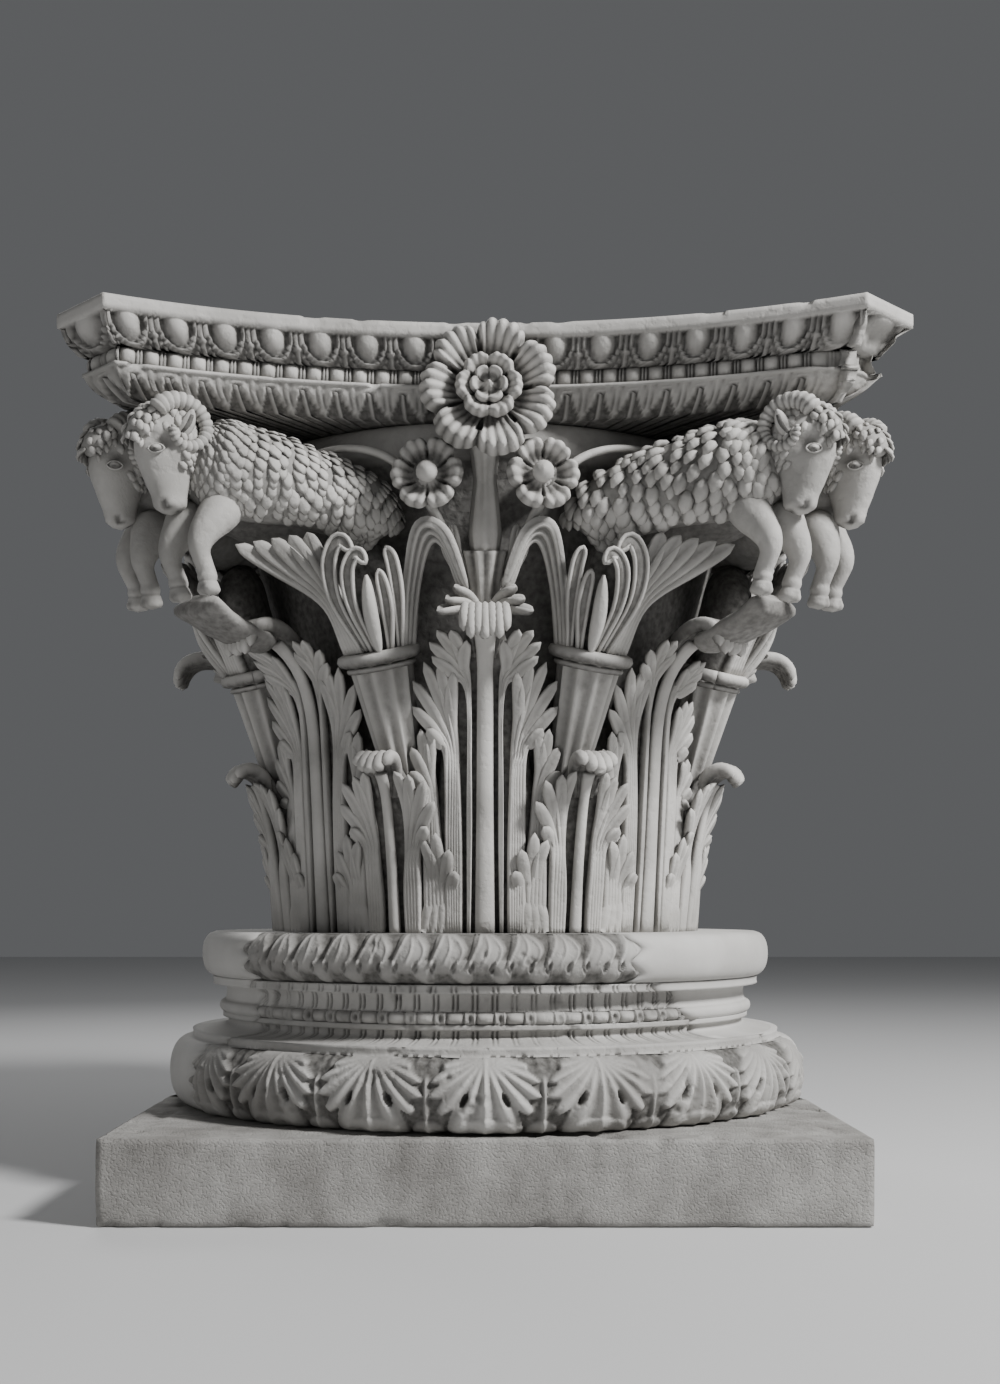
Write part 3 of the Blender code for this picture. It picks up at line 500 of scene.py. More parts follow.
def torus_leaf(angle, v):
    """Relief of the lower torus. A leaf hangs from a narrow top. Veins fan out from there at even angles,
    and its reach at each angle makes its lobes. It ends in a curled lip, and has a slanted hole drilled on
    each side of its rib. Between two leaves a plainer one shows its upright rib and a scallop below."""
    x = repeat(angle, BASE_LEAVES)
    side, down = 1.10 * np.abs(x), 1.02 - v
    lean = np.degrees(np.arctan2(side, down))
    reach = np.hypot(side, down)
    edge = np.interp(lean, [0, 15, 21, 24, 28, 33, 36, 46, 50, 58, 66, 78, 90],
                     [1.2, 1.2, 1.04, 0.78, 0.88, 0.85, 0.70, 0.76, 0.58, 0.62, 0.46, 0.42, 0.2])
    inside = smooth((edge - reach) / 0.05)
    vein = np.cos(lean * 2 * math.pi / 14.5)
    rib = ridge(x, 0.018)
    lip = dot(x, down - 1.0, 0.27, 0.20)
    hole = dot((lean - 19) * 0.016, reach - 0.58, 0.05, 0.10)
    between = 0.5 - np.abs(x)
    second = smooth((0.17 - between) / 0.04) * smooth((0.86 - v) / 0.1)
    second_rib = ridge(between, 0.020) * smooth((0.8 - v) / 0.1)
    scallop = np.sqrt(dot(between, down - 1.0, 0.15, 0.17))
    veins = 0.0034 * vein * smooth(reach / 0.5)
    leaf = 0.010 + veins + 0.003 * rib + 0.007 * np.sqrt(lip) - 0.017 * np.sqrt(hole)
    strokes = 0.0025 * np.cos(angle * 170) * smooth((v - 0.8) / 0.1)
    back = second * 0.002 + 0.008 * second_rib + 0.008 * scallop + strokes
    return inside * leaf + (1 - inside) * back - 0.011


def upper_torus_leaf(angle, v):
    """Relief of the upper torus: rounded shields with a midrib above, small buds below, and a groove that
    winds down between them past two drilled holes."""
    x = repeat(angle + 0.012 * np.sin(v * 2 * math.pi), TORUS_LOBES)
    shield = np.sqrt(dot(x, v - 0.64, 0.46, 0.44))
    rib = ridge(x, 0.045) * smooth((v - 0.35) / 0.1)
    half = 0.5 - np.abs(x)
    bud = np.sqrt(dot(half, v - 0.26, 0.30, 0.26)) + 0.25 * np.sqrt(dot(half - 0.27, v - 0.24, 0.10, 0.16))
    collar = ridge(np.abs(x) - 0.36 * np.sin(v * math.pi * 0.9), 0.05) * smooth((v - 0.2) / 0.1)
    hole = dot(np.abs(x) - 0.27, v - 0.34, 0.085, 0.12)
    return 0.009 * shield + 0.0025 * rib + 0.007 * bud + 0.003 * collar - 0.009 * hole - 0.009


def panels(x, v):
    """Flat upright panels, with a thin bar between two deep lines from one panel to the next."""
    line = ridge(np.abs(x) - 0.385, 0.055)
    bar = ridge(np.abs(x) - 0.5, 0.050)
    return (-0.0060 * line + 0.001 * bar) * smooth(v * 6) * smooth((1 - v) * 6)


def base_relief(angle, rows):
    """Relief in metres on the whole old stone, band by band."""
    band, v = rows[:, 2][:, None], rows[:, 3][:, None]
    fluting = panels(repeat(angle, BASE_FLUTES), v)
    y = repeat(angle, BASE_BEADS)
    bead = np.sqrt(dot(y, 0 * y, 0.27, 1)) * np.sqrt(np.sin(v * math.pi))
    reel = ridge(np.abs(y) - 0.36, 0.04) * 0.75
    eye = dot(0.5 - np.abs(y), v - 0.5, 0.10, 0.34)
    beads = 0.008 * np.maximum(np.maximum(bead, reel), 0.55 * (np.abs(y) > 0.40)) - 0.006 * eye - 0.0065
    plain = 0 * fluting
    choices = [torus_leaf(angle, v), plain, fluting, plain, beads, fluting, 0.6 * fluting,
               upper_torus_leaf(angle, v)]
    return np.choose(np.broadcast_to(band, plain.shape).astype(int), choices)


def base_sector(columns, carved):
    """The old stone, or what completes its ring. Each row runs between the break angles of its band. Rows
    that go in to the middle close the sector above and below."""
    rows = base_profile()
    breaks = np.radians(np.array(BAND_BREAKS)[rows[:, 2].astype(int)])
    wander = 0.021 * np.column_stack([np.sin(rows[:, 1] * 190), np.sin(rows[:, 1] * 150 + 2)])
    start, end = breaks[:, :1], breaks[:, 1:]
    if not carved:
        start, end, wander = end, start + 2 * math.pi, wander[:, ::-1]
    share = np.linspace(0, 1, columns)
    angle = start + (end - start) * share + wander[:, :1] * (1 - share) ** 9 + wander[:, 1:] * share**9
    radius = rows[:, :1] + 0 * angle
    height = rows[:, 1][:, None] + 0 * angle
    place = round_axis(angle, radius, height)
    worn = rough(place, 0.09, 5)
    torus = ((rows[:, 2] == TORUS_LOW) | (rows[:, 2] == TORUS_HIGH))[:, None]
    if carved:
        relief = base_relief(angle, rows)
        keep = 1 - 0.7 * smooth((worn - 0.30) * 4)
        relief = relief * keep - 0.002 * (1 - keep) - 0.004 * smooth((rough(place, 0.03, 9) - 0.3) * 3)
    else:
        relief = -0.006 * torus * np.sin(rows[:, 3] * math.pi)[:, None] + 0.0006 * worn - 0.001
    near_end = np.minimum(np.linspace(0, 1, columns), np.linspace(1, 0, columns)) * (end - start)
    relief = relief - 0.006 * np.exp(-near_end / 0.010)
    outer = place + relief[..., None] * unit(place * (1, 1, 0))
    back = np.linspace(columns - 1, 0, 12).astype(int)
    inner = round_axis(angle, BASE_CORE, height)[:, back]
    # painted shade: on the old stone the deeper the relief sinks the darker it is painted; on the restoration
    # it varies only with the noise. The hidden inner rings get a middle amount of painted shade.
    painted_shade = np.clip(0.02 - relief / 0.0095, 0, 1) if carved else np.clip(0.35 - worn * 0.5, 0, 1)
    rings = np.concatenate([outer, inner], axis=1)
    return loft(rings, np.concatenate([painted_shade, np.full(inner.shape[:2], 0.6)], axis=1))


piece("carved_base", base_sector(600, True), BASE_FOOT, "base_carved_stone", OLD_STONE)
piece("restored_base", base_sector(150, False), BASE_FOOT, "base_restoration", PLASTER)

# %% [markdown]
# ## The abacus
#
# Four hollow sides and four cut corners. The rings follow that outline at each height of the moulding, and
# the ornament is pushed out along the outline's own normal: leaf tongues, beads and reels, eggs and darts.

# %% Abacus
CAPITAL_FOOT = 0.4586
CAPITAL_HEIGHT = 0.98
ABACUS_HEIGHT = 0.1355
TIP_X, TIP_Y, SAG = 0.582, 0.677, 0.131
SETBACK, CORNER_SETBACK = 0.068, 0.0775
SIDE_RADIUS = (TIP_X**2 + SAG**2) / (2 * SAG)
SIDE_CENTRE = TIP_Y - SAG + SIDE_RADIUS
CORNER_DISTANCE = (TIP_X + TIP_Y) / math.sqrt(2)
EGGS = 16
TONGUES = 22
BROKEN_CORNER = (0.640, -0.600, 0.020)


def in_units(places, count):
    """Shares from 0 towards 1: the same places, from -0.5 to 0.5, in each of count units."""
    return ((np.arange(count)[:, None] + np.asarray(places) + 0.5) / count).reshape(-1)


def abacus_outline(setback, corner_setback, shares, corner_shares):
    """Points and outward normals round the abacus at one level, and how far along its side each one is."""
    radius = SIDE_RADIUS + setback
    b = SIDE_CENTRE - (CORNER_DISTANCE - corner_setback) * math.sqrt(2)
    end = (-b + math.sqrt(2 * radius**2 - b**2)) / 2
    sweep = math.asin(end / radius) * (2 * shares - 1)
    side = np.column_stack([radius * np.sin(sweep), radius * np.cos(sweep) - SIDE_CENTRE])
    side_normal = np.column_stack([-np.sin(sweep), -np.cos(sweep)])
    corner = side[-1] + corner_shares[:, None] * (np.array([-side[-1][1], -side[-1][0]]) - side[-1])
    corner_normal = np.full((len(corner_shares), 2), math.sqrt(0.5)) * (1, -1)
    points, normals = np.vstack([side, corner]), np.vstack([side_normal, corner_normal])
    turns = [np.array([[c, s], [-s, c]]) for c, s in ((1, 0), (0, 1), (-1, 0), (0, -1))]
    along = np.concatenate([shares, 1 + corner_shares])
    return np.vstack([points @ t for t in turns]), np.vstack([normals @ t for t in turns]), np.tile(along, 4)


def in_unit(along, count, corner_count):
    """The place in the ornament's unit, -0.5 to 0.5: count units on a side, corner_count on a corner."""
    return np.where(along > 1, ((along - 1) * corner_count) % 1, (along * count) % 1) - 0.5


def egg_and_dart(along, y):
    """An egg in a deep groove, a thin shell round it, and a dart with two barbs between the shells."""
    x = in_unit(along, EGGS, 1)
    egg = np.sqrt(dot(x, y - 0.84, 0.270, 0.78)) * 0.0155
    ring = np.hypot(x, np.minimum(y - 0.82, 0) * 0.48)
    shell = ridge(ring - 0.38, 0.036) * 0.0125
    side = 0.5 - np.abs(x)
    dart = smooth((0.045 - side) / 0.025) * 0.0110
    barb = ridge(side - 0.28 * (0.62 - y), 0.032) * (y < 0.62) * 0.0090
    return np.maximum.reduce([egg, shell, dart, barb]) - 0.0150


def beads_and_reels(along, y):
    """Long beads, with two thin upright reels from one bead to the next."""
    x = in_unit(along, 2 * EGGS, 2)
    bulge = np.sqrt(math.sin(min(max(y, 0.02), 0.98) * math.pi))
    bead = np.sqrt(dot(x, 0 * x, 0.33, 1)) * bulge
    reel = ridge(np.abs(x) - 0.43, 0.028)
    return 0.0125 * np.maximum(bead, 0.80 * reel * bulge) - 0.0100


def leaf_tongues(along, y):
    """A small tongue under an arch. The arch's thin edge sweeps down on both sides to meet its neighbours
    round a pointed leaf, which has a rib between two grooves."""
    x = np.abs(in_unit(along, TONGUES, 1))
    spread = 0.17 + 0.27 * smooth((0.70 - y) / 0.70) ** 1.4
    arch = np.hypot(x / spread, max(y - 0.62, 0) / 0.26)
    edge = ridge((arch - 1.05) * spread, 0.035)
    tongue = smooth((0.075 - np.hypot(x, max(y - 0.66, 0) / 2.0)) / 0.03)
    leaf = smooth((arch - 1.05) * spread / 0.03)
    rib = ridge(0.5 - x, 0.030)
    groove = ridge(0.5 - x - 0.10 * (0.4 + y), 0.035)
    body = leaf * (0.0088 + 0.0015 * rib - 0.0055 * groove)
    return np.maximum.reduce([0.0115 * edge, 0.0105 * tongue, body]) - 0.0110


def abacus_course(bands, places, count, corner_count):
    """A course of the abacus: its bands of moulding, closed above and below. A band gives its heights and
    setbacks as shares from foot to top, its bulge, its rows and its ornament. The points stand at the same
    places in every unit of the ornament, closest at its edges, so that all the units come out alike."""
    shares, corner_shares = np.append(in_units(places, count), 1.0), in_units(places, corner_count)[1:]
    rings, painted_shades = [], []
    for low, high, share_low, share_high, bulge, rows, ornament in bands:
        for y in np.linspace(0, 1, rows):
            up = low + (high - low) * y
            share = share_low + (share_high - share_low) * y - bulge * math.sin(y * math.pi)
            setbacks = SETBACK * share, CORNER_SETBACK * share
            flat, normal, along = abacus_outline(*setbacks, shares, corner_shares)
            relief = ornament(along, y) if ornament else np.zeros(len(flat))
            place = np.column_stack([flat, np.full(len(flat), up * ABACUS_HEIGHT)])
            edge = 0.15 if ornament else 0.2 + 0.8 * math.exp(-10 * min(y, 1 - y))
            chips = smooth((rough(place, 0.045, 31) - 0.28) * 5)
            # painted shade: the ornament's ground darker the deeper it is cut, a little on the plain bands;
            # the broken corner gets a middle amount below
            ground_shade = np.clip(-relief / 0.0095, 0, 1) if ornament else np.full(len(flat), 0.12)
            relief = relief - 0.0008 * edge - 0.006 * edge * chips
            broken = smooth((0.155 - np.linalg.norm(place - BROKEN_CORNER, axis=1)) / 0.07)
            broken = broken * smooth((0.84 - up) / 0.15)
            relief = relief * (1 - broken) - broken * (0.026 + 0.020 * rough(place, 0.04, 41))
            place[:, :2] += normal * relief[:, None]
            rings.append(place)
            painted_shades.append(ground_shade * (1 - broken) + broken * 0.35)
    # painted shade: the rings under the abacus darker (0.8), those on its top lighter (0.2), as light falls
    # from above
    below = [rings[0] * (k, k, 1) for k in (0.05, 0.92)]
    above = [rings[-1] * (k, k, 1) for k in (0.992, 0.92, 0.05)]
    plain = np.full(len(rings[0]), 0.3)
    return loft(np.array(below + rings + above), np.array([plain + 0.5] * 2 + painted_shades + [plain - 0.1] * 3))


TONGUE_PLACES = np.arange(12) / 12 - 0.5
BEAD_PLACES = (-0.5, -0.43, -0.36, -0.31, -0.23, -0.10, 0.10, 0.23, 0.31, 0.36, 0.43)
EGG_PLACES = (-0.5, -0.44, -0.38, -0.33, -0.265, -0.19, -0.10, 0.0, 0.10, 0.19, 0.265, 0.33, 0.38, 0.44)
tongue_course = abacus_course([(0.0, 0.285, 1.0, 0.46, 0.10, 17, leaf_tongues),
                               (0.290, 0.328, 0.43, 0.43, 0, 2, None)], TONGUE_PLACES, TONGUES, 1)
bead_course = abacus_course([(0.328, 0.524, 0.50, 0.50, 0, 8, beads_and_reels)], BEAD_PLACES, 2 * EGGS, 2)
egg_course = abacus_course([(0.522, 0.832, 0.33, 0.03, 0.06, 17, egg_and_dart),
                            (0.836, 1.0, 0.0, 0.0, 0, 4, None)], EGG_PLACES, EGGS, 1)


def capital_piece(name, shape, height=0.0):
    """A piece of the capital, from a shape that starts at a height over the capital's foot."""
    piece(name, shape, CAPITAL_FOOT + height, "capital", MARBLE)


courses = joined([tongue_course, bead_course, egg_course])
capital_piece("abacus_block", courses, CAPITAL_HEIGHT - ABACUS_HEIGHT)

# %% [markdown]
# ## The bell
#
# Behind the leaves stands the bell, a turned shape with a rounded lip. Stone is left standing behind each
# pair of rams, and in a rough strut under their hooves.

# %% Bell
BELL_OUTLINE = [(0.362, 0.0), (0.368, 0.34), (0.384, 0.50), (0.414, 0.62), (0.450, 0.735), (0.470, 0.778)]
BELL_LIP = (0.488, 0.786, 0.842)


def turned_profile(profile, columns, seed):
    """A profile of (radius, height) carried round the axis, with a skin pushed in and out by noise."""
    angle = circle(columns)
    rings = round_axis(angle, profile[:, :1], profile[:, 1:] + 0 * angle)
    return rings + 0.0012 * rough(rings, 0.02, seed)[..., None] * unit(rings * (1, 1, 0))


def bell_shape():
    wall = curve(BELL_OUTLINE, 24)
    radius, foot, top = BELL_LIP
    turn = np.linspace(-math.pi / 2, math.pi / 2, 9)
    lip = np.column_stack([radius - 0.014 + 0.014 * np.cos(turn),
                           (foot + top) / 2 + (top - foot) / 2 * np.sin(turn)])
    rings = turned_profile(np.vstack([[(0.02, 0.0)], wall, lip, [(0.02, top)]]), 120, 14)
    # painted shade: the bell's wall behind the leaves nearly fully dark, its lip less
    painted_shade = np.concatenate([[0.9], np.full(24, 0.92), np.full(9, 0.35), [0.9]])[:, None]
    return loft(rings, painted_shade)


def lump(path, wide, high, seed):
    """Stone left rough: a closed bar along a path, pushed in and out by noise."""
    path = curve(path, 20)
    ends = round_ends(20, 0.1, 0.1)
    shape = tube(path, (0, 0, 1), spread_over(20, wide) * ends, high * ends, 20)
    points = shape[0] + 0.006 * rough(shape[0], 0.045, seed)[:, None] * unit(shape[0] - path.mean(axis=0))
    # painted shade: the rough stone behind and under the rams is painted darker than a plain tube
    return points, shape[1], shape[2] * 0.5 + 0.35


def on_corner(radii, heights):
    """Places over the corner, halfway between the front and the right."""
    return round_axis(math.pi / 4, np.array(radii), np.array(heights))


core = lump(on_corner((0.42, 0.56, 0.690), (0.70, 0.735, 0.775)), (0.10, 0.09, 0.055), 0.070, 51)
strut = lump(on_corner((0.52, 0.62, 0.685), (0.490, 0.515, 0.545)), (0.036, 0.050, 0.070), 0.020, 52)
stone_left = all_round(joined([core, strut]), pair=False)
capital_piece("bell_and_struts", joined([bell_shape(), stone_left]))

# %% [markdown]
# ## The leaves
#
# A leaf grows on a bent strip. `Spine` turns a place on the strip, s across, t up and n out, into a place
# in space. A leaf's lobes are fans of fingers that lie edge to edge. A finger starts in its fan's band at
# the foot, runs up beside its neighbours and leans out to a round tip. Behind them a plate painted fully
# dark as shade shows through where two fans part.

# %% Spine
LEAF_FOOT_RADIUS = 0.400


class Spine:
    def __init__(self, shares, height, reach):
        self.line = curve([(LEAF_FOOT_RADIUS + reach * out, height * up) for out, up in shares], 90)
        steps = np.linalg.norm(np.diff(self.line, axis=0), axis=1)
        self.length = np.concatenate([[0], np.cumsum(steps)])
        slope = unit(np.gradient(self.line, axis=0))
        self.normal = np.column_stack([slope[:, 1], -slope[:, 0]])
        self.end = self.length[-1]
        self.top = int(self.line[:, 1].argmax())

    def rise(self, share):
        """The way along the strip to a share of its height."""
        rising = slice(self.top + 1)
        return float(np.interp(share, self.line[rising, 1] / self.line[self.top, 1], self.length[rising]))

    def at(self, s, t, n):
        """Places in space, and the direction out of the leaf at each."""
        r, z = (np.interp(t, self.length, self.line[:, k]) for k in (0, 1))
        out_r, out_z = (np.interp(t, self.length, self.normal[:, k]) for k in (0, 1))
        angle = s / r
        return round_axis(angle, r + n * out_r, z + n * out_z), round_axis(angle, out_r, out_z)


LOWER = Spine([(0, 0), (0.13, 0.36), (0.28, 0.64), (0.43, 0.83), (0.62, 0.96), (0.87, 1.0), (1.0, 0.93)],
              height=0.278, reach=0.086)
UPPER = Spine([(0, 0), (0.045, 0.24), (0.09, 0.49), (0.135, 0.69), (0.20, 0.80), (0.30, 0.88), (0.45, 0.945),
               (0.65, 0.99), (0.84, 1.0), (0.965, 0.975), (1.0, 0.915)], height=0.506, reach=0.175)
print("leaf lengths", round(LOWER.end, 3), round(UPPER.end, 3))

# %% Fans of fingers
# A fan: its band across the foot, its band where the fingers part and how high that is as a share of the
# leaf, and the fingers' tips, each across and up as a share.
LOWER_FANS = [
    ((0.055, 0.098), (0.064, 0.100), 0.20, [(0.060, 0.57), (0.083, 0.61), (0.104, 0.51), (0.112, 0.38)]),
    ((0.024, 0.044), (0.024, 0.048), 0.50, [(0.028, 0.99), (0.050, 0.97), (0.076, 0.93), (0.087, 0.80),
                                            (0.070, 0.65)])]
UPPER_FANS = [
    ((0.070, 0.098), (0.082, 0.102), 0.44, [(0.088, 0.665), (0.108, 0.680), (0.124, 0.620), (0.126, 0.54),
                                            (0.112, 0.47)]),
    ((0.042, 0.062), (0.042, 0.066), 0.58, [(0.052, 0.866), (0.076, 0.895), (0.101, 0.898), (0.120, 0.840),
                                            (0.121, 0.755), (0.096, 0.680)]),
    ((0.026, 0.029), (0.021, 0.030), 0.78, [(0.030, 0.960), (0.055, 0.990), (0.078, 0.990), (0.091, 0.960),
                                            (0.087, 0.918)])]
FINGER_STEPS = 22
FINGER_HALF = 0.0122
FINGER_THICK = 0.0078
FINGER_CHANNEL = 0.0042


def fan_of_fingers(spine, foot_band, root_band, root_share, tips, level, worn):
    """Each finger is flat and wide enough to touch its neighbour, so that only grooves part them till near
    their tips. It dips where it bends and curls out again, and a shallow channel runs down it."""
    shapes = []
    root_t = spine.rise(root_share)
    grown = np.linspace(0, 1, FINGER_STEPS)
    closing = blunt(grown, 14, 0.002)
    channel = FINGER_CHANNEL * smooth((grown - 0.40) / 0.2) * closing
    foot_half = 0.85 * abs(foot_band[1] - foot_band[0]) / (len(tips) - 1) + 0.0012
    half = foot_half + (FINGER_HALF - foot_half) * smooth((grown - 0.45) / 0.40)
    for k, (tip_s, tip_share) in enumerate(tips):
        share = k / (len(tips) - 1)
        foot_s = foot_band[0] + (foot_band[1] - foot_band[0]) * share
        root_s = root_band[0] + (root_band[1] - root_band[0]) * share
        tip_t = root_t + (spine.rise(tip_share) - root_t) * worn
        tip_s = root_s + (tip_s - root_s) * worn
        bow = 0.011 * math.exp(-1.3 * k)
        bend = (root_s + 0.40 * (tip_s - root_s) + bow, root_t + 0.52 * (tip_t - root_t))
        path = curve([(foot_s, -0.005), ((foot_s + root_s) / 2, 0.5 * root_t), (root_s + bow / 2, root_t),
                      bend, (tip_s, tip_t)], FINGER_STEPS)
        out = 0.0015 * level - 0.003 + (0.008 + 0.003 * share) * smooth((grown - 0.66) / 0.34)
        out = out - 0.005 * ridge(grown - 0.55, 0.13) * (1 - 0.5 * share)
        place, outward_way = spine.at(path[:, 0], path[:, 1], out)
        shapes.append(channelled(place, outward_way, half * closing, FINGER_THICK * closing + 0.001, channel))
    return joined(shapes)


def turned_tip(spine, start_share, half_low, half_high, ribs):
    """The tip that turns over: ribs that spread across the bend and hang down at its front."""
    shapes, steps = [], 20
    start = spine.rise(start_share)
    grown = np.linspace(0, 1, steps)
    closing = blunt(grown, 14, 0.002)
    half = np.linspace(half_low, half_high, steps) * 1.9 / (ribs - 1)
    for k in np.linspace(-1, 1, ribs):
        reach = spine.end - 0.010 * k * k + 0.004 * math.cos(k * 9)
        path = curve([(half_low * k, start), (0.60 * (half_low + half_high) * k, (start + reach) / 2 + 0.01),
                      (half_high * k, reach)], steps)
        place, outward_way = spine.at(path[:, 0], path[:, 1], -0.012 - 0.004 * grown)
        shapes.append(tube(place, -outward_way, half * closing, 0.013 * closing, 8))
    return joined(shapes)


def leaf(spine, fans, plate_half, rib_half, rib_end, tip, worn=1.0):
    """A whole leaf: fans on both sides, a flat midrib between deep grooves, a tip that turns over and the
    plate of stone behind, painted fully dark as shade. The fans on one side can be worn short."""
    shapes = []
    for level, fan_sizes in enumerate(fans):
        shapes.append(fan_of_fingers(spine, *fan_sizes, level, worn))
        shapes.append(mirrored(fan_of_fingers(spine, *fan_sizes, level, 1.0)))
    end = spine.rise(rib_end)
    up = np.linspace(0, 1, 26)
    flare = np.interp(up, [0, 0.5, 0.85, 1], [1.15, 0.95, 0.90, 1.30])
    place, outward_way = spine.at(0 * up, up * end, 0.001 + 0 * up)
    shapes.append(tube(place, outward_way, rib_half * flare, 0.0085, 12))
    shapes.append(turned_tip(spine, *tip))
    narrowing = np.interp(up, [0, 0.45, 0.75, 0.92, 1], [1, 0.86, 0.62, 0.36, 0.24])
    place, outward_way = spine.at(0 * up, up * spine.rise(0.985), -0.022 + 0 * up)
    plate = tube(place, outward_way, plate_half * narrowing, 0.011, 10)
    # the plate is painted fully dark: painted shade where the fans part
    return joined(shapes + [shaded(plate, 1.0)])


# What each row's leaf measures: its plate's half width, its rib's half width, how high its rib ends, and
# its tip
LOWER_SIZES = (0.090, 0.0095, 0.97, (0.82, 0.014, 0.026, 5))
UPPER_SIZES = (0.096, 0.0150, 0.985, (0.90, 0.016, 0.033, 7))
WORN_LEAF = 1
low_leaf = leaf(LOWER, LOWER_FANS, *LOWER_SIZES)
high_leaf, worn_leaf = (leaf(UPPER, UPPER_FANS, *UPPER_SIZES, worn) for worn in (1.0, 0.72))
step = 360 / 8
low_row = [turned(low_leaf, (k + 0.5) * step) for k in range(8)]
high_row = [turned(worn_leaf if k == WORN_LEAF else high_leaf, k * step) for k in range(8)]
capital_piece("lower_leaves", joined(low_row))
capital_piece("upper_leaves", joined(high_row))

# %% [markdown]
# ## The stalks
#
# Between the leaves rise fluted stalks, each with a thick collar over a thin one. Long leaves grow from the
# collar: one runs under the ram's belly, two hook over a bud, and one bends in towards the middle of the
# face. A leaf seen from its face is a fan of fingers between two edge curves, and a leaf seen edge on is a
# ribbon with two rims.

# %% Stalks
STALK_FOOT = np.array([0.137, -0.366, 0.255])
COLLAR = np.array([0.1775, -0.414, 0.467])
COLLAR_RADIUS = 0.062
FRONT = (0, -1, 0)
FACE_ON = (0.15, -1, 0.1)
CHANNEL = 0.007


def fan(edge_a, edge_b, count, half, lift=FACE_ON, samples=20):
    """Channelled fingers side by side between two edge curves."""
    shapes = []
    for share in np.linspace(0, 1, count):
        path = curve((1 - share) * np.asarray(edge_a) + share * np.asarray(edge_b), samples)
        grown = np.linspace(0, 1, samples)
        width = half * (0.65 + 0.45 * smooth((grown - 0.2) / 0.6)) * blunt(grown, 8, 0.002)
        closing = blunt(grown, 10, 0.01)
        shapes.append(channelled(path, lift, width, 0.010 * closing, CHANNEL * smooth(grown / 0.3) * closing))
    return joined(shapes)


def ribbon(points, half):
    """A leaf seen edge on: a hollowed strip between two thin rims that meet at its tip."""
    count = 22
    path = curve(points, count)
    grown = np.linspace(0, 1, count)
    _, across, up = ring_frame(path, FACE_ON)
    half = half * (0.55 + 0.45 * smooth(grown * 2)) * blunt(grown, 9, 0.01)
    # painted shade on the sunk strip between the rims
    strip = shaded(tube(path - 0.004 * up, FACE_ON, half, 0.006, 8), 0.75)
    rims = [path + side * (half - 0.0025)[:, None] * across for side in (-1, 1)]
    return joined([strip] + [tube(rim, FACE_ON, 0.0038, 0.0064, 6) for rim in rims])


def stem_and_collars():
    """A bar with five flutes on each half of its round, and two rings at its head."""
    rows, sides = 10, 60
    axis = unit(COLLAR - STALK_FOOT)
    flutes = 0.001 - 0.0085 * np.abs(np.sin(circle(sides) * 5))[None, :]
    path = STALK_FOOT + np.linspace(0, 1, rows)[:, None] * (COLLAR - STALK_FOOT)
    stem = tube(path, FRONT, np.linspace(0.030, 0.055, rows), np.linspace(0.032, 0.054, rows), sides, flutes)
    side = unit(np.cross(axis, FRONT))
    front = np.cross(side, axis)
    turn = np.linspace(0, 2 * math.pi, 41)[:, None]
    around = np.cos(turn) * side + np.sin(turn) * front * 0.95
    rings = [tube(COLLAR + drop * axis + radius * around, axis, thick, thick, 8) for drop, thick, radius
             in ((0.0, 0.0110, COLLAR_RADIUS), (-0.018, 0.0048, COLLAR_RADIUS - 0.007))]
    # painted shade in the flutes, darker the deeper they are cut
    return [shaded(stem, np.tile(np.clip(-flutes[0] * 75, 0, 1), rows), 0.5)] + rings


# Each line grows from a place beside the collar's middle, through the places that follow
OUTER_LEAF = [[(0.050, -0.018, 0), (0.262, -0.468, 0.545), (0.335, -0.508, 0.594), (0.400, -0.548, 0.624)],
              [(0.028, -0.040, 0), (0.246, -0.492, 0.560), (0.272, -0.512, 0.610), (0.288, -0.522, 0.650)]]
INNER_LEAF = [[(-0.055, -0.010, 0), (0.112, -0.462, 0.575), (0.092, -0.500, 0.640), (0.062, -0.506, 0.632),
               (0.034, -0.494, 0.548)],
              [(-0.044, -0.026, 0), (0.128, -0.476, 0.580), (0.108, -0.516, 0.660), (0.066, -0.522, 0.650),
               (0.027, -0.508, 0.556)]]
RIBBONS = [([(0.022, -0.045, 0), (0.243, -0.508, 0.540), (0.252, -0.528, 0.600), (0.236, -0.536, 0.634),
             (0.214, -0.536, 0.616)], 0.0130),
           ([(0.006, -0.050, 0), (0.215, -0.512, 0.530), (0.222, -0.532, 0.585), (0.207, -0.540, 0.612),
             (0.192, -0.538, 0.596)], 0.0115),
           ([(-0.022, -0.043, 0), (0.160, -0.500, 0.535), (0.172, -0.518, 0.590)], 0.0105),
           ([(-0.038, -0.033, 0), (0.142, -0.488, 0.545), (0.150, -0.508, 0.600), (0.160, -0.514, 0.628)],
            0.0110)]
BUD = [(-0.004, -0.050, -0.005), (0.186, -0.508, 0.520), (0.192, -0.526, 0.580)]
HEART = [(0, 0, 0), (0.205, -0.428, 0.56), (0.262, -0.445, 0.645)]


def from_collar(points):
    return [COLLAR + points[0]] + points[1:]


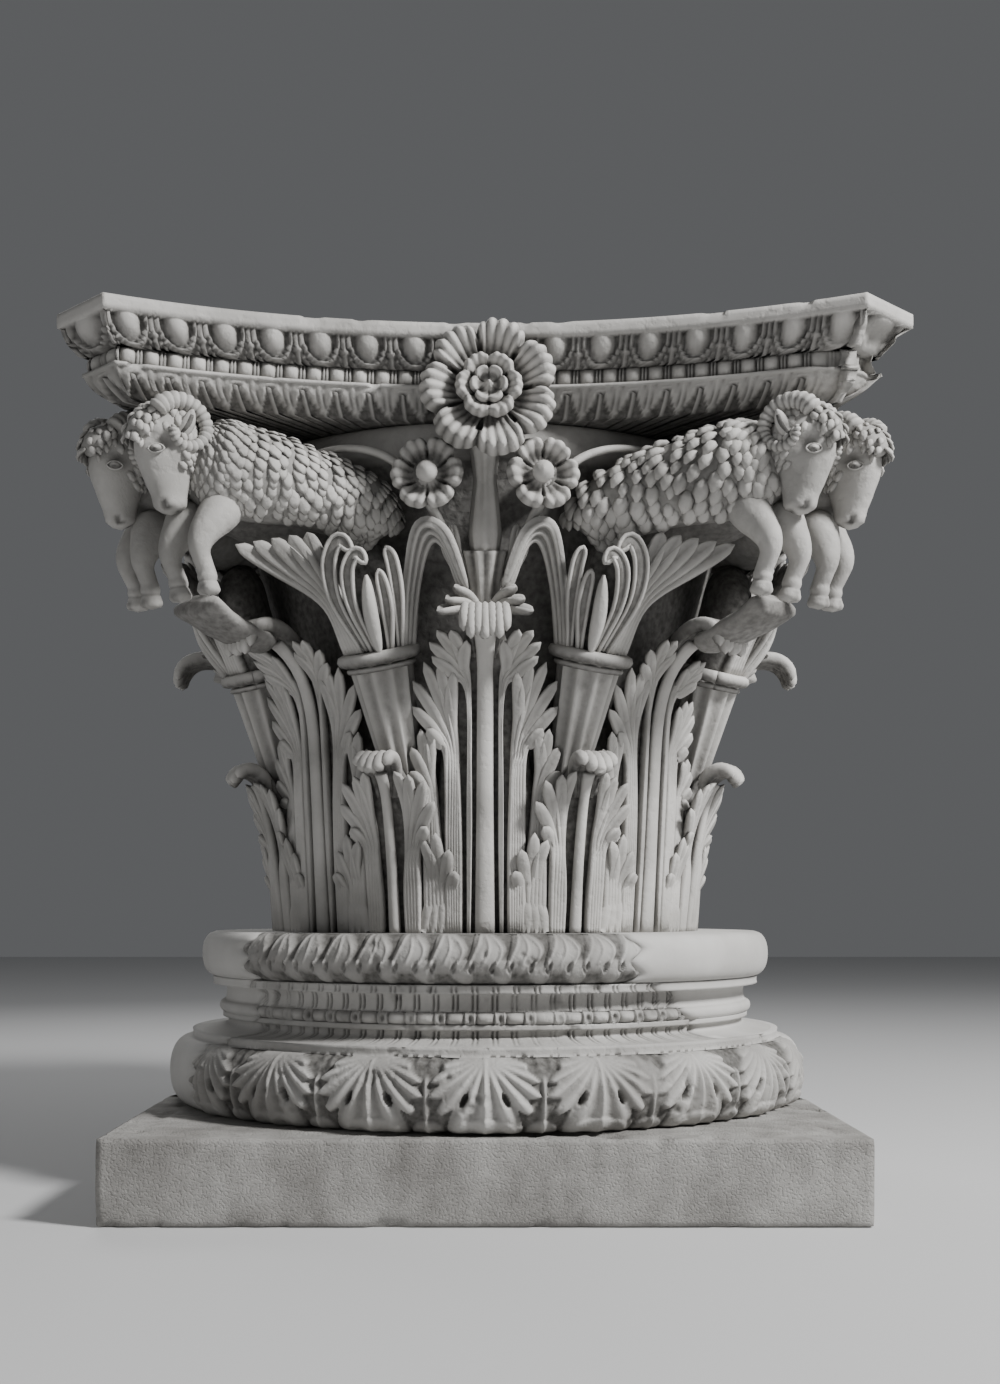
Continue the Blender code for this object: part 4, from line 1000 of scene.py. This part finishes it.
def stalk_shape():
    shapes = stem_and_collars()
    shapes.append(fan(*(from_collar(edge) for edge in OUTER_LEAF), 5, 0.0150))
    shapes.extend(ribbon(from_collar(points), half) for points, half in RIBBONS)
    shapes.append(fan(*(from_collar(edge) for edge in INNER_LEAF), 3, 0.0095, samples=26))
    steps = 14
    swell = np.sqrt(np.sin(np.linspace(0.04, math.pi - 0.04, steps)))
    shapes.append(tube(curve(from_collar(BUD), steps), FRONT, 0.0125 * swell, 0.012, 10))
    ends = round_ends(steps, 0, 0.3)
    wide = np.linspace(0.048, 0.080, steps) * ends
    heart = tube(curve(from_collar(HEART), steps), FRONT, wide, 0.042 * ends, 16)
    # the heart behind the leaves is painted fully dark: painted shade
    return joined(shapes + [shaded(heart, 1.0)])


capital_piece("stalks_and_calyx", all_round(stalk_shape()))

# %% [markdown]
# ## The flowers
#
# A flower is a dish seen from the front: its rim, its flutes and the holes between its petals are all
# functions of the angle round its middle and the distance from it. The big flower is three dishes, one in
# another, and a small flower is one dish round a bud.

# %% Flowers
ROSETTE_HEIGHT = CAPITAL_HEIGHT - 0.113


def notch(turn, count):
    """0 in the middle of each of count petals, 1 in the cleft between two."""
    return 1 - np.abs(np.cos(turn * count / 2))


def dish(centre, facing, radius, petals, flutes, depth, columns, rows, hub=0.0):
    """A closed flower. Outward from its middle it dips, rises to the rim and turns over. Flutes fan across
    it, a hole is drilled between each two petals, and a knob of height hub may stand in its middle."""
    facing = unit(np.asarray(facing, float))
    across = unit(np.cross(facing, (0, 0, 1)))
    upward = np.cross(across, facing)
    turn = circle(columns)
    scale = radius / 0.11
    rim = 1 - 0.16 * notch(turn, petals) ** 2 - 0.030 * notch(turn, flutes)
    q = np.linspace(0.02, 1, rows)[:, None]
    profile = -0.55 * depth * np.sin(smooth(q / 0.9) * math.pi)
    profile = profile + depth * (0.30 + 0.70 * smooth((q - 0.35) / 0.5))
    profile = profile - 0.9 * depth * smooth((q - 0.86) / 0.14) ** 2
    lobe = np.abs(np.cos(turn * flutes / 2)) - 0.62
    groove = 0.0052 * scale**0.7 * lobe * smooth((q - 0.25) / 0.35)
    parting = -0.014 * scale * notch(turn, petals) ** 6 * smooth((q - 0.3) / 0.3)
    x = np.arcsin(np.clip(np.sin((turn - math.pi / petals) * petals / 2), -1, 1)) / petals * 2
    eye = dot(x * q, q - 0.66, 0.055, 0.11)
    knob = hub * np.sqrt(dot(0 * turn, q, 1, 0.16))
    out = profile + groove + parting - 0.022 * scale * np.sqrt(eye) + knob
    # painted shade in the flutes, the partings, the drilled holes and a ring round the middle, less on the
    # ridges; the back rings are painted nearly fully dark
    dark = 0.30 - groove / 0.0065 - parting * 60 + np.sqrt(eye) + 0.8 * dot(0 * turn, q - 0.48, 1, 0.16)
    dark = np.clip(dark, 0, 1)
    back = np.array([0.92, 0.5, 0.02])[:, None]
    out = np.vstack([out, np.full((3, columns), -0.8 * depth)])
    q = np.vstack([q, back])
    reach = radius * rim * q
    rings = (np.asarray(centre, float) + (reach * np.cos(turn))[..., None] * across
             + (reach * np.sin(turn))[..., None] * upward + out[..., None] * facing)
    return loft(rings, np.vstack([dark, np.full((3, columns), 0.9)]))


def post(start, end, rows, radius, sides):
    """The round stone behind a flower, deep in its shadow."""
    return shaded(tube(curve([start, end], rows), (0, 0, 1), radius, radius, sides), 0.9)


def big_flower():
    centre = np.array([0.006, -0.574, ROSETTE_HEIGHT])
    petals = dish(centre, FRONT, 0.111, 7, 35, 0.026, 210, 22)
    calyx = dish(centre + (0, -0.012, 0), FRONT, 0.054, 6, 24, 0.020, 120, 14)
    heart = dish(centre + (0, -0.018, 0), FRONT, 0.031, 6, 6, 0.012, 48, 12, hub=0.014)
    back = post((0, -0.45, ROSETTE_HEIGHT), (0, -0.56, ROSETTE_HEIGHT), 6, 0.070, 20)
    return joined([petals, calyx, heart, back])


def middle_stalk():
    """A fluted cup, and a bulb that rises from it to the big flower."""
    cup_path = curve([(0, -0.462, 0.530), (0, -0.476, 0.585), (0, -0.486, 0.628)], 14)
    teeth = 0.0036 * np.cos(circle(48) * 10)[None, :] * np.linspace(0.3, 1, 14)[:, None]
    cup = tube(cup_path, FRONT, np.linspace(0.020, 0.040, 14), 0.030, 48, teeth)
    # painted shade in the cup's grooves between its teeth
    cup = shaded(cup, np.clip(0.45 - teeth / 0.006, 0, 1), 0.5)
    bulb_path = curve([(0, -0.488, 0.625), (0, -0.498, 0.700), (0, -0.512, 0.745), (0, -0.535, 0.800)], 20)
    girth = np.interp(np.linspace(0, 1, 20), [0, 0.12, 0.3, 0.62, 0.85, 1],
                      [0.022, 0.026, 0.022, 0.0165, 0.022, 0.032])
    bulb = tube(bulb_path, FRONT, girth, girth, 32, 0.0020 * np.cos(circle(32) * 8)[None, :])
    curls = [fan([(0.0, -0.465, 0.500), (0.035 * side, -0.500, 0.528), (0.078 * side, -0.535, 0.520)],
                 [(0.0, -0.465, 0.515), (0.025 * side, -0.500, 0.548), (0.050 * side, -0.530, 0.560)],
                 3, 0.0115, lift=(0, -0.6, 1)) for side in (-1, 1)]
    return joined([cup, bulb] + curls)


def small_flower():
    centre = np.array([0.093, -0.548, 0.7385])
    petals = dish(centre, (0.15, -1, 0), 0.0600, 6, 18, 0.016, 108, 13)
    girth = 0.0175 * round_ends(10, 0.5, 0.5)
    bud = tube(centre + np.linspace(0.008, -0.032, 10)[:, None] * (0, 1, 0), (0, 0, 1), girth, girth, 16)
    back = post((0.085, -0.45, 0.74), (0.092, -0.545, 0.74), 5, 0.024, 16)
    return joined([petals, shaded(bud, 0.15), back])


def stem_shape():
    """A stem that bends out behind the ram's back and grows thinner, in the sheath of a pointed leaf."""
    path = curve([(0.018, -0.455, 0.555), (0.052, -0.475, 0.628), (0.085, -0.508, 0.690),
                  (0.118, -0.520, 0.735), (0.150, -0.515, 0.768), (0.190, -0.500, 0.788),
                  (0.235, -0.478, 0.797), (0.285, -0.448, 0.797)], 40)
    stem = tube(path, FRONT, np.linspace(0.0095, 0.0055, 40) * round_ends(40, 0, 0.05), 0.0090, 8)
    sheath = fan([(0.022, -0.470, 0.575), (0.044, -0.492, 0.625), (0.052, -0.505, 0.668)],
                 [(0.032, -0.470, 0.570), (0.062, -0.490, 0.622), (0.064, -0.503, 0.660)], 3, 0.008)
    return joined([stem, sheath])


flowers = joined([all_round(joined([big_flower(), middle_stalk()]), pair=False),
                  all_round(joined([small_flower(), stem_shape()]))])
capital_piece("flowers_and_stems", flowers)

# %% [markdown]
# ## The rams
#
# One ram is built at the front right corner and repeated. Its skin carries locks of wool: one small lock is
# placed many times, in staggered rows over the back and flanks. The rams on one side have finer, flatter
# wool.

# %% Ram measures
RAM_BODY = [(0.172, -0.436, 0.660), (0.205, -0.458, 0.700), (0.285, -0.494, 0.725), (0.368, -0.530, 0.737),
            (0.432, -0.548, 0.748), (0.474, -0.566, 0.762)]
RAM_GIRTH = [0.040, 0.058, 0.064, 0.073, 0.074, 0.050]
POLL = np.array([0.488, -0.590, 0.795])
FORWARD = np.array([0.80, -0.60, 0.0])
ASIDE = np.array([-0.60, -0.80, 0.0])
DOWN = np.array([0.0, 0.0, -1.0])
HEAD = 0.144
LEGS = [((0.400, -0.548, 0.705), (0.447, -0.592, 0.624), (0.440, -0.580, 0.572), (0.436, -0.580, 0.536)),
        ((0.462, -0.540, 0.690), (0.500, -0.557, 0.614), (0.492, -0.548, 0.567), (0.486, -0.546, 0.531))]


def head_point(forward, side, down):
    """A place on the head, counted from the poll in head lengths."""
    return POLL + HEAD * (forward * FORWARD + side * ASIDE + down * DOWN)


print("the muzzle ends at", np.round(head_point(0.05, 0, 0.94), 3))


# %% Wool
def one_lock():
    """A lock of wool one unit long, which swells, lifts and comes to a blunt point. A place on it is named
    by how far along it lies, across and out."""
    path = np.array([(0.0, 0, 0.0), (0.28, 0, 0.10), (0.68, 0, 0.16), (1.0, 0, 0.04)])
    return tube(path, (0, 0, 1), np.array([0.18, 0.36, 0.34, 0.10]), np.array([0.10, 0.20, 0.20, 0.07]), 6)


def many_locks(spots, out, way, length, rise):
    """The lock at every spot, with its own length: it lies along way and stands out by its rise."""
    points, faces, painted_shade = one_lock()
    points = points * (1, 1, rise)
    way = unit(way - (way * out).sum(axis=1, keepdims=True) * out)
    across = np.cross(out, way)
    frames = np.stack([way, across, out], axis=1)
    placed = spots[:, None] + length[:, None, None] * np.einsum("pk,nkx->npx", points, frames)
    start = (np.arange(len(spots)) * len(points))[:, None, None]
    copies = np.where(faces < 0, -1, faces + start).reshape(-1, 4)
    return outward((placed.reshape(-1, 3), copies, np.tile(painted_shade, len(spots))))


def wool_on(path, wide, high, rows, around, turns, size, seed, lift=(0, 0, 1), sweep=-0.55, rise=1.0):
    """Locks on a tube's skin between two turns, 90 degrees being where lift points. They hang down from
    there, and sweep along the path or back against it."""
    along, across, lift = ring_frame(path, lift)
    row, place = np.meshgrid(np.arange(rows), np.arange(around), indexing="ij")
    row, place = row.reshape(-1), place.reshape(-1) + 0.5 * (row.reshape(-1) % 2)
    key = np.stack([row, place, np.zeros_like(place)], -1) * 0.731
    v = (row + 0.5 + 0.35 * noise(key, 1.0, seed)) / rows * (len(path) - 1)
    first, last = turns
    turn = np.radians(first + (last - first) * (place + 0.35 * noise(key, 1.0, seed + 1)) / around)

    def at(values):
        return np.column_stack([np.interp(v, np.arange(len(path)), column) for column in values.T])

    middle, along, across, lift = (at(part) for part in (path, along, across, lift))
    wide, high = at(np.column_stack([wide, high])).T[..., None]
    c, s = np.cos(turn)[:, None], np.sin(turn)[:, None]
    spots = middle + wide * c * across * 0.97 + high * s * lift * 0.97
    out = unit(c * across + s * lift)
    down_flank = (s * across - c * lift) * np.where(c > 0, 1, -1)
    length = size * (1 + 0.25 * noise(key, 1.0, seed + 2))
    sweep = sweep + 0.35 * noise(key, 1.0, seed + 3)[:, None]
    return many_locks(spots, out, down_flank + sweep * along, length, rise)


print("a lock of wool has", len(one_lock()[1]), "faces")


# %% Ram
def ram_body(fine):
    """The body's skin, and the wool over its back and flanks: small flat locks where it is fine."""
    count, sides = 46, 36
    path = curve(RAM_BODY, count)
    girth = spread_over(count, RAM_GIRTH) * round_ends(count, 0.06, 0.05)
    spot = path[:, None] + np.arange(sides)[None, :, None] * 0.01
    skin = tube(path, (0, 0, 1), girth * 0.92, girth, sides, 0.0015 * noise(spot, 0.012, 61))
    size, rows, around, rise = (0.026, 21, 15, 0.5) if fine else (0.031, 16, 11, 0.9)
    path, girth = path[2:-2], girth[2:-2]
    wool = wool_on(path, girth * 0.92, girth, rows, around, (-62, 140), size, 65, rise=rise)
    # painted shade on the skin between the locks
    return joined([shaded(skin, 0.62), wool])


def ram_head():
    """The skull's relief is a sum of spots at an angle round it and a share of the way to the muzzle. Wool
    covers the neck and the poll."""
    count, sides = 34, 32
    path = curve([head_point(-0.16, 0, -0.10), head_point(0.02, 0, 0.06), head_point(0.09, 0, 0.27),
                  head_point(0.09, 0, 0.50), head_point(0.07, 0, 0.73), head_point(0.05, 0, 0.94)], count)
    v = np.linspace(0, 1, count)
    marks, close = [0, 0.2, 0.4, 0.6, 0.8, 0.93, 1], round_ends(count, 0.10, 0.10)
    wide = np.interp(v, marks, [0.034, 0.043, 0.041, 0.031, 0.024, 0.024, 0.017]) * close
    deep = np.interp(v, marks, [0.036, 0.053, 0.056, 0.043, 0.029, 0.026, 0.017]) * close
    turn = circle(sides)
    cheek = np.abs((turn[None, :] + math.pi / 2) % (2 * math.pi) - math.pi)
    row = v[:, None]
    nostril = dot(cheek - 0.72, row - 0.90, 0.24, 0.055)
    mouth = ridge(row - 0.955 + 0.020 * np.cos(cheek), 0.010) * (cheek > 0.5)
    socket = dot(cheek - 1.05, row - 0.38, 0.42, 0.085)
    brow = dot(cheek - 0.85, row - 0.30, 0.45, 0.05)
    jaw = dot(cheek - 2.0, row - 0.42, 0.6, 0.16)
    relief = -0.006 * nostril - 0.003 * mouth - 0.006 * socket + 0.005 * brow + 0.004 * jaw
    # painted shade in the nostrils, the mouth and the eye sockets, and less on the brows
    dark = np.clip(0.18 + nostril + mouth + 0.5 * socket - 0.2 * brow, 0, 1)
    shapes = [shaded(tube(path, FORWARD, wide, deep, sides, relief), dark, 0.5)]
    for end, rows, around, turns in ((11, 3, 8, (20, 160)), (20, 8, 10, (172, 368))):
        skin = path[:end], wide[:end], deep[:end]
        shapes.append(wool_on(*skin, rows, around, turns, 0.018, 75, FORWARD, 1.2))
    forelock = curve([head_point(0.02, 0, -0.12), head_point(0.35, 0, -0.05), head_point(0.50, 0, 0.20)], 12)
    ends = round_ends(12, 0.2, 0.3)
    # the forelock gets a middle amount of painted shade all over
    shapes.append(shaded(tube(forelock, DOWN, 0.028 * ends, 0.018 * ends, 14), 0.4))
    shapes.append(wool_on(forelock, 0.028 * ends, 0.018 * ends, 6, 7, (-25, 205), 0.017, 79, sweep=1.2))
    return joined(shapes)


def ram_eye(side):
    """An eyeball between two lids."""
    centre = head_point(0.335, side * 0.222, 0.30)
    out = unit(0.62 * FORWARD + 0.78 * side * ASIDE)
    level = unit(0.78 * FORWARD - 0.62 * side * ASIDE)
    turn = np.linspace(0, 1, 7)
    bulge = np.sqrt(np.clip(1 - (2 * turn - 1) ** 2, 0.01, 1))
    ball = tube(centre + (turn * 0.015 - 0.010)[:, None] * out, (0, 0, 1), 0.0095 * bulge, 0.0070 * bulge, 12)
    lid = np.linspace(0, 2 * math.pi, 21)
    rim = centre - 0.001 * out + 0.0125 * np.cos(lid)[:, None] * level
    rim = rim - 0.0068 * (np.sin(lid) * np.abs(np.sin(lid)) ** 0.3)[:, None] * DOWN
    return joined([ball, tube(rim, out, 0.0016, 0.0024, 6)])


def ram_horn(side):
    """A ribbed horn: it rises from the forehead, arches over and behind the ear and curls in under it."""
    count, sides = 66, 10
    v = np.linspace(0, 1, count)
    turn = np.radians(np.linspace(28, 345, count))
    reach = np.interp(v, [0, 0.5, 0.75, 1], [1.0, 1.0, 0.82, 0.42])
    out = 0.20 + 0.14 * v
    path = (head_point(0.06, 0, 0.02) + (0.300 * HEAD * reach * np.cos(turn))[:, None] * FORWARD
            + (out * HEAD)[:, None] * ASIDE * side - (0.275 * HEAD * reach * np.sin(turn))[:, None] * DOWN)
    girth = np.interp(v, [0, 0.3, 0.7, 1], [0.0165, 0.0125, 0.0085, 0.005]) * round_ends(count, 0.03, 0.04)
    rings = np.where(np.arange(count) % 3 == 0, -0.0016, 0.0006)[:, None] * np.ones((1, sides))
    horn = tube(path, ASIDE * side, girth, girth, sides, rings)
    # painted shade in the grooves between the horn's rings
    return shaded(horn, np.clip(0.1 - rings * 350, 0, 1), 0.3)


def ram_ear(side):
    """An upright ear like a small leaf, with a strip on its outer side painted fully dark as the shade in its
    hollow.
    """
    path = curve([head_point(0.08, side * 0.24, 0.13), head_point(0.02, side * 0.33, 0.02),
                  head_point(-0.03, side * 0.36, -0.14)], 12)
    swell = np.sqrt(np.sin(np.linspace(0.5, math.pi - 0.04, 12)))
    facing = ASIDE * side + 0.3 * FORWARD
    outside = tube(path, facing, 0.0115 * swell, 0.0045, 10)
    inside = tube(path[1:-2] + 0.0035 * ASIDE * side, facing, 0.0050 * swell[1:-2], 0.0022, 6)
    return joined([outside, shaded(inside, 1.0)])


def ram_leg(points):
    """A bent foreleg: a strong upper part, a knee, a thin shin and a cloven hoof."""
    count, sides = 32, 14
    path = curve(points, count)
    v = np.linspace(0, 1, count)
    girth = np.interp(v, [0, 0.22, 0.34, 0.48, 0.62, 0.70, 0.78, 0.92, 1],
                      [0.046, 0.0270, 0.0210, 0.0150, 0.0140, 0.0160, 0.0150, 0.0190, 0.0130])
    girth = girth * round_ends(count, 0.20, 0.035)
    turn = circle(sides)
    cleft = ridge(turn - math.pi / 2, 0.30)[None, :] * smooth((v - 0.80) / 0.06)[:, None]
    band = ridge(v - 0.765, 0.012)[:, None]
    leg = tube(path, (0.6, -0.8, 0), girth * 0.95, girth * 1.05, sides, -0.0065 * cleft - 0.0018 * band)
    # painted shade in the cleft of the hoof and the band above it
    return shaded(leg, np.clip(0.30 + 0.6 * cleft + 0.5 * band, 0, 1), 0.5)


def ram(fine):
    """The whole ram. The ear that would lie between the pair's two heads is left out."""
    shapes = [ram_body(fine), ram_head(), ram_ear(1)] + [ram_leg(points) for points in LEGS]
    return joined(shapes + [part(side) for part in (ram_horn, ram_eye) for side in (-1, 1)])


capital_piece("rams_right", all_round(ram(fine=False), pair=False))
capital_piece("rams_left", all_round(mirrored(ram(fine=True)), pair=False))

# %% [markdown]
# ## Stage, light and camera
#
# A plain pale floor and a soft key light from the upper right, as in the photograph. The camera looks level
# along +Y from just above the base, and is shifted up so that the whole capital stands in the picture.

# %% Stage
FLOOR_HALF = 14
SCENE = bpy.context.scene
floor_mesh = bpy.data.meshes.new("floor")
floor_corners = [(x * FLOOR_HALF, y * FLOOR_HALF, 0) for x, y in ((-1, -1), (1, -1), (1, 1), (-1, 1))]
floor_mesh.from_pydata(floor_corners, [], [(0, 1, 2, 3)])
floor = bpy.data.objects.new("floor", floor_mesh)
SCENE.collection.objects.link(floor)
pale = bpy.data.materials.new("pale floor")
pale.use_nodes = True
pale_shader = pale.node_tree.nodes["Principled BSDF"]
pale_shader.inputs["Base Color"].default_value = (0.55, 0.55, 0.55, 1)
pale_shader.inputs["Roughness"].default_value = 0.9
floor_mesh.materials.append(pale)

# %% Light
world = bpy.data.worlds.new("studio")
world.use_nodes = True
sky = world.node_tree.nodes["Background"]
sky.inputs["Color"].default_value = (0.80, 0.82, 0.85, 1)
sky.inputs["Strength"].default_value = 0.14
SCENE.world = world


def area_light(name, place, aim, size, watts):
    """A square lamp that looks from its place at the aim."""
    light = bpy.data.lights.new(name, "AREA")
    light.size = size
    light.energy = watts
    lamp = bpy.data.objects.new(name, light)
    lamp.location = place
    direction = np.array(aim, float) - np.array(place, float)
    lamp.rotation_euler = (math.atan2(math.hypot(*direction[:2]), -direction[2]), 0,
                           math.atan2(direction[1], direction[0]) - math.pi / 2)
    SCENE.collection.objects.link(lamp)


area_light("key", (3.9, -2.7, 4.2), (0, 0, 0.8), 1.0, 600)
area_light("fill", (-4.0, -3.5, 1.8), (0, 0, 0.8), 3.0, 22)
area_light("rim", (-1.5, 3.5, 3.5), (0, 0, 1.0), 2.0, 60)

# %% Camera
CAMERA_DISTANCE = 3.172
CAMERA_HEIGHT = 0.4987
camera_data = bpy.data.cameras.new("camera")
camera_data.sensor_width = 36
camera_data.lens = 42.63
camera_data.shift_x = 0.0108
camera_data.shift_y = 0.157
camera = bpy.data.objects.new("camera", camera_data)
camera.location = (0, -CAMERA_DISTANCE, CAMERA_HEIGHT)
camera.rotation_euler = (math.pi / 2, 0, 0)
SCENE.collection.objects.link(camera)
SCENE.camera = camera
print("the camera stands", CAMERA_DISTANCE, "m in front of the axis,", CAMERA_HEIGHT, "m up")
